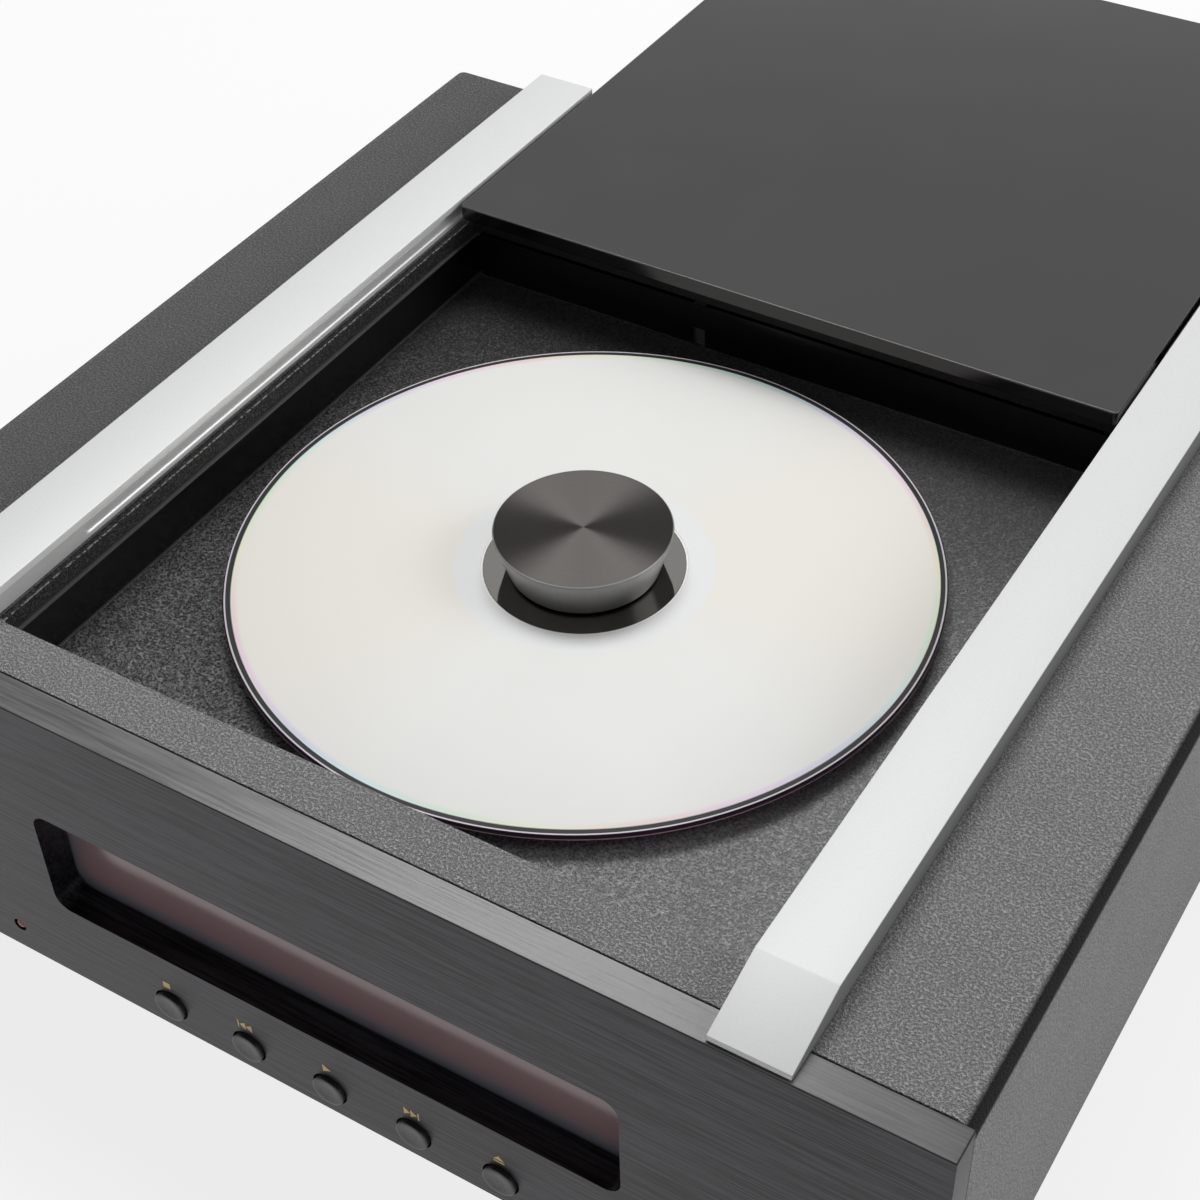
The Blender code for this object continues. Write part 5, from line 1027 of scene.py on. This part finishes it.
GILT, DARK = (0.72, 0.52, 0.2), (0.03, 0.03, 0.032)
BLOCK_DEPTH, BLOCK_CLEARANCE = 9.7 * MM, 0.3 * MM
rear_y = float(rear_high[1])
for name, ring, shell, metallic in (("phono_socket_left", (0.75, 0.75, 0.72), GILT, 1.0),
                                    ("phono_socket_right", (0.45, 0.03, 0.025), GILT, 1.0),
                                    ("digital_socket", DARK, GILT, 1.0), ("power_inlet", DARK, DARK, 0.0)):
    low, high = np.array(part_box(name))
    axis = ((low[0] + high[0]) / 2, low[2] + SOCKET_RISE)
    reach = float(high[1] - rear_y) / MM
    if name == "power_inlet":
        shape = [(0, -9), (0.0, -1.2), (0.9, -1.2), (1.0, -1.5), (1.0, -8.5), (3.1, -8.5), (3.1, -0.2), (3.3, 0),
                 (4.0, 0), (4.0, -6)]
    else:
        shape = [(0, -2), (0, reach - 7), (1.6, reach - 7), (1.7, reach - 0.6), (3.1, reach - 0.6),
                 (3.2, reach - 0.1), (3.35, reach), (4.05, reach), (4.2, reach - 0.15), (4.2, reach - 5.6),
                 (4.0, reach - 5.8), (4.0, 0.9), (4.2, 0.8), (4.2, -6)]
    block = slab([rounded_loop(low[[0, 2]], high[[0, 2]], 0.5 * MM, 3)], BLOCK_DEPTH)
    block = upright(block, (0, rear_low[1] - BLOCK_CLEARANCE, 0), -1)
    nose = turned(np.array(shape) * MM, (axis[0], rear_y, axis[1]), "Y", 48)
    finish = socket_finish(name + "_finish", axis, ring, shell, metallic)
    piece(name + "_turned", *joined([nose, block]), finish, "root", (name,),
          "gilt_brass" if metallic else "black_plastic", sharp=30)

# %% [markdown]
# The remaining nodes are inside the case or under the disc, and their CAD shapes are right. They
# still get the look of their stuff, because poses and cuts can show them. The pan is zinc sheet
# with large spangles, the plate is cast, and the boards are green with paler tracks.

# %% Pan, plate and boards
zinc = Finish("zinc_sheet", (0.6, 0.61, 0.62), 0.4, 0.9)
spangle = zinc.node("ShaderNodeTexVoronoi", {}, {"Vector": zinc.place(size=grey(6 * MM)), "Scale": 1.0}, out=1)
spangle = zinc.node("ShaderNodeRGBToBW", {}, {0: spangle})
zinc.pattern(spangle, (0.48, 0.49, 0.51), (0.68, 0.69, 0.70), gloss=(0.2, 0.3))
dress(["base_pan"], zinc)

cast = Finish("cast_zinc", (0.5, 0.5, 0.51), 0.5, 0.85)
cast.pattern(cast.noise(1.2 * MM, 5.0), (0.38, 0.38, 0.40), (0.60, 0.60, 0.61), 0.03 * MM)
dress(["mechanism_plate"], cast)


def circuit(name, pitch, gap, turn=(0, 0, 0)):
    """Green board whose tracks are the gaps of a brick pattern, as wide as gap times the pitch."""
    finish = Finish(name, (0.02, 0.12, 0.06), 0.35)
    place = finish.place(size=grey(pitch), turn=turn)
    tracks = finish.node("ShaderNodeTexBrick", {"offset": 0.5}, {"Vector": place, "Scale": 1.0, "Mortar Size": gap},
                         out=1)
    return finish, finish.mix(tracks, (0.012, 0.10, 0.045), (0.05, 0.24, 0.12))


board, green = circuit("circuit_board", 4 * MM, 0.04)
over_pan = board.split()[2] - float(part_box("main_board")[0][2])
board.set("Base Color", board.mix(over_pan.step(2.2 * MM, 2.4 * MM), green, (0.025, 0.025, 0.028)))
board.set("Roughness", board.noise(3 * MM, 3.0) * 0.25 + 0.25)
dress(["main_board"], board)
front_board_finish, green = circuit("front_circuit_board", 3 * MM, 0.05, (math.pi / 2, 0, 0))
front_board_finish.set("Base Color", green)
dress(["front_board"], front_board_finish)

# %% [markdown]
# Moulded plastic has a fine even grain. Rods, shafts, motors and screws are ground steel, whose
# strokes come from the same helper as those of the front, here without a direction.

# %% Mouldings and rods
plastic = Finish("black_plastic", (0.035, 0.035, 0.037), 0.45)
plastic.pattern(plastic.noise(0.5 * MM, 3.0), (0.028, 0.028, 0.030), (0.055, 0.055, 0.058), 0.01 * MM, (0.2, 0.35))
dress(["lid_runner_left", "lid_runner_right", "lid_sensor", "laser_sled", "remote_sensor"], plastic)

hub_white = Finish("white_plastic", (0.7, 0.7, 0.67), 0.42)
hub_white.pattern(hub_white.noise(0.8 * MM, 3.0), (0.62, 0.62, 0.59), (0.76, 0.76, 0.73), 0.008 * MM)
dress(["turntable_hub"], hub_white)
dress(["friction_ring"] + [f"mechanism_damper_{k}" for k in (1, 2, 3, 4)], rubber)

ground = Finish("ground_steel", (0.42, 0.42, 0.43), 0.25, 1.0)
strokes, tone = brushing(ground, 0.3 * MM, (1, 1, 1))
ground.set("Base Color", ground.mix(tone.step(0.34, 0.66), (0.42, 0.42, 0.43), (0.66, 0.66, 0.67)))
ground.set("Roughness", (strokes - 0.5) * 0.3 + 0.25)
ground.bump(strokes, 0.04 * MM)
dress(["guide_rod_left", "guide_rod_right", "spindle_shaft", "spindle_motor", "feed_motor", "front_screw_left",
       "front_screw_right"], ground)

nickel = Finish("nickel", (0.5, 0.48, 0.45), 0.25, 1.0)
nickel.pattern(nickel.noise(1 * MM, 4.0), (0.42, 0.40, 0.37), (0.60, 0.58, 0.55))
dress(["lid_magnet", "puck_magnet"], nickel)

# %% [markdown]
# The feed screw has a thread and the ribbon has wires, both too fine to model. A sine along the
# piece is high once in each pitch and draws them as stripes. The lens has a coating that turns its
# blue to violet in places.

# %% Screw, ribbon and lens
THREAD_PITCH, WIRE_PITCH = 0.5 * MM, 1.0 * MM
brass = Finish("gilt_brass", (0.72, 0.52, 0.2), 0.3, 1.0)
turns = (brass.split()[1] * (2 * math.pi / THREAD_PITCH)).math("SINE") * 0.5 + 0.5
brass.pattern(turns, (0.55, 0.38, 0.12), (0.78, 0.58, 0.25), 0.08 * MM)
dress(["feed_screw"], brass)

ribbon_finish = Finish("ribbon_grey", (0.45, 0.45, 0.47), 0.5)
wires = (ribbon_finish.split()[0] * (2 * math.pi / WIRE_PITCH)).math("SINE") * 0.5 + 0.5
ribbon_finish.pattern(wires, (0.36, 0.36, 0.38), (0.52, 0.52, 0.54), 0.06 * MM)
dress(["ribbon"], ribbon_finish)

glass = Finish("lens_glass", (0.12, 0.16, 0.35), 0.05, IOR=1.6)
glass.pattern(glass.noise(3 * MM, 2.0), (0.08, 0.12, 0.34), (0.16, 0.15, 0.42))
dress(["objective_lens"], glass)
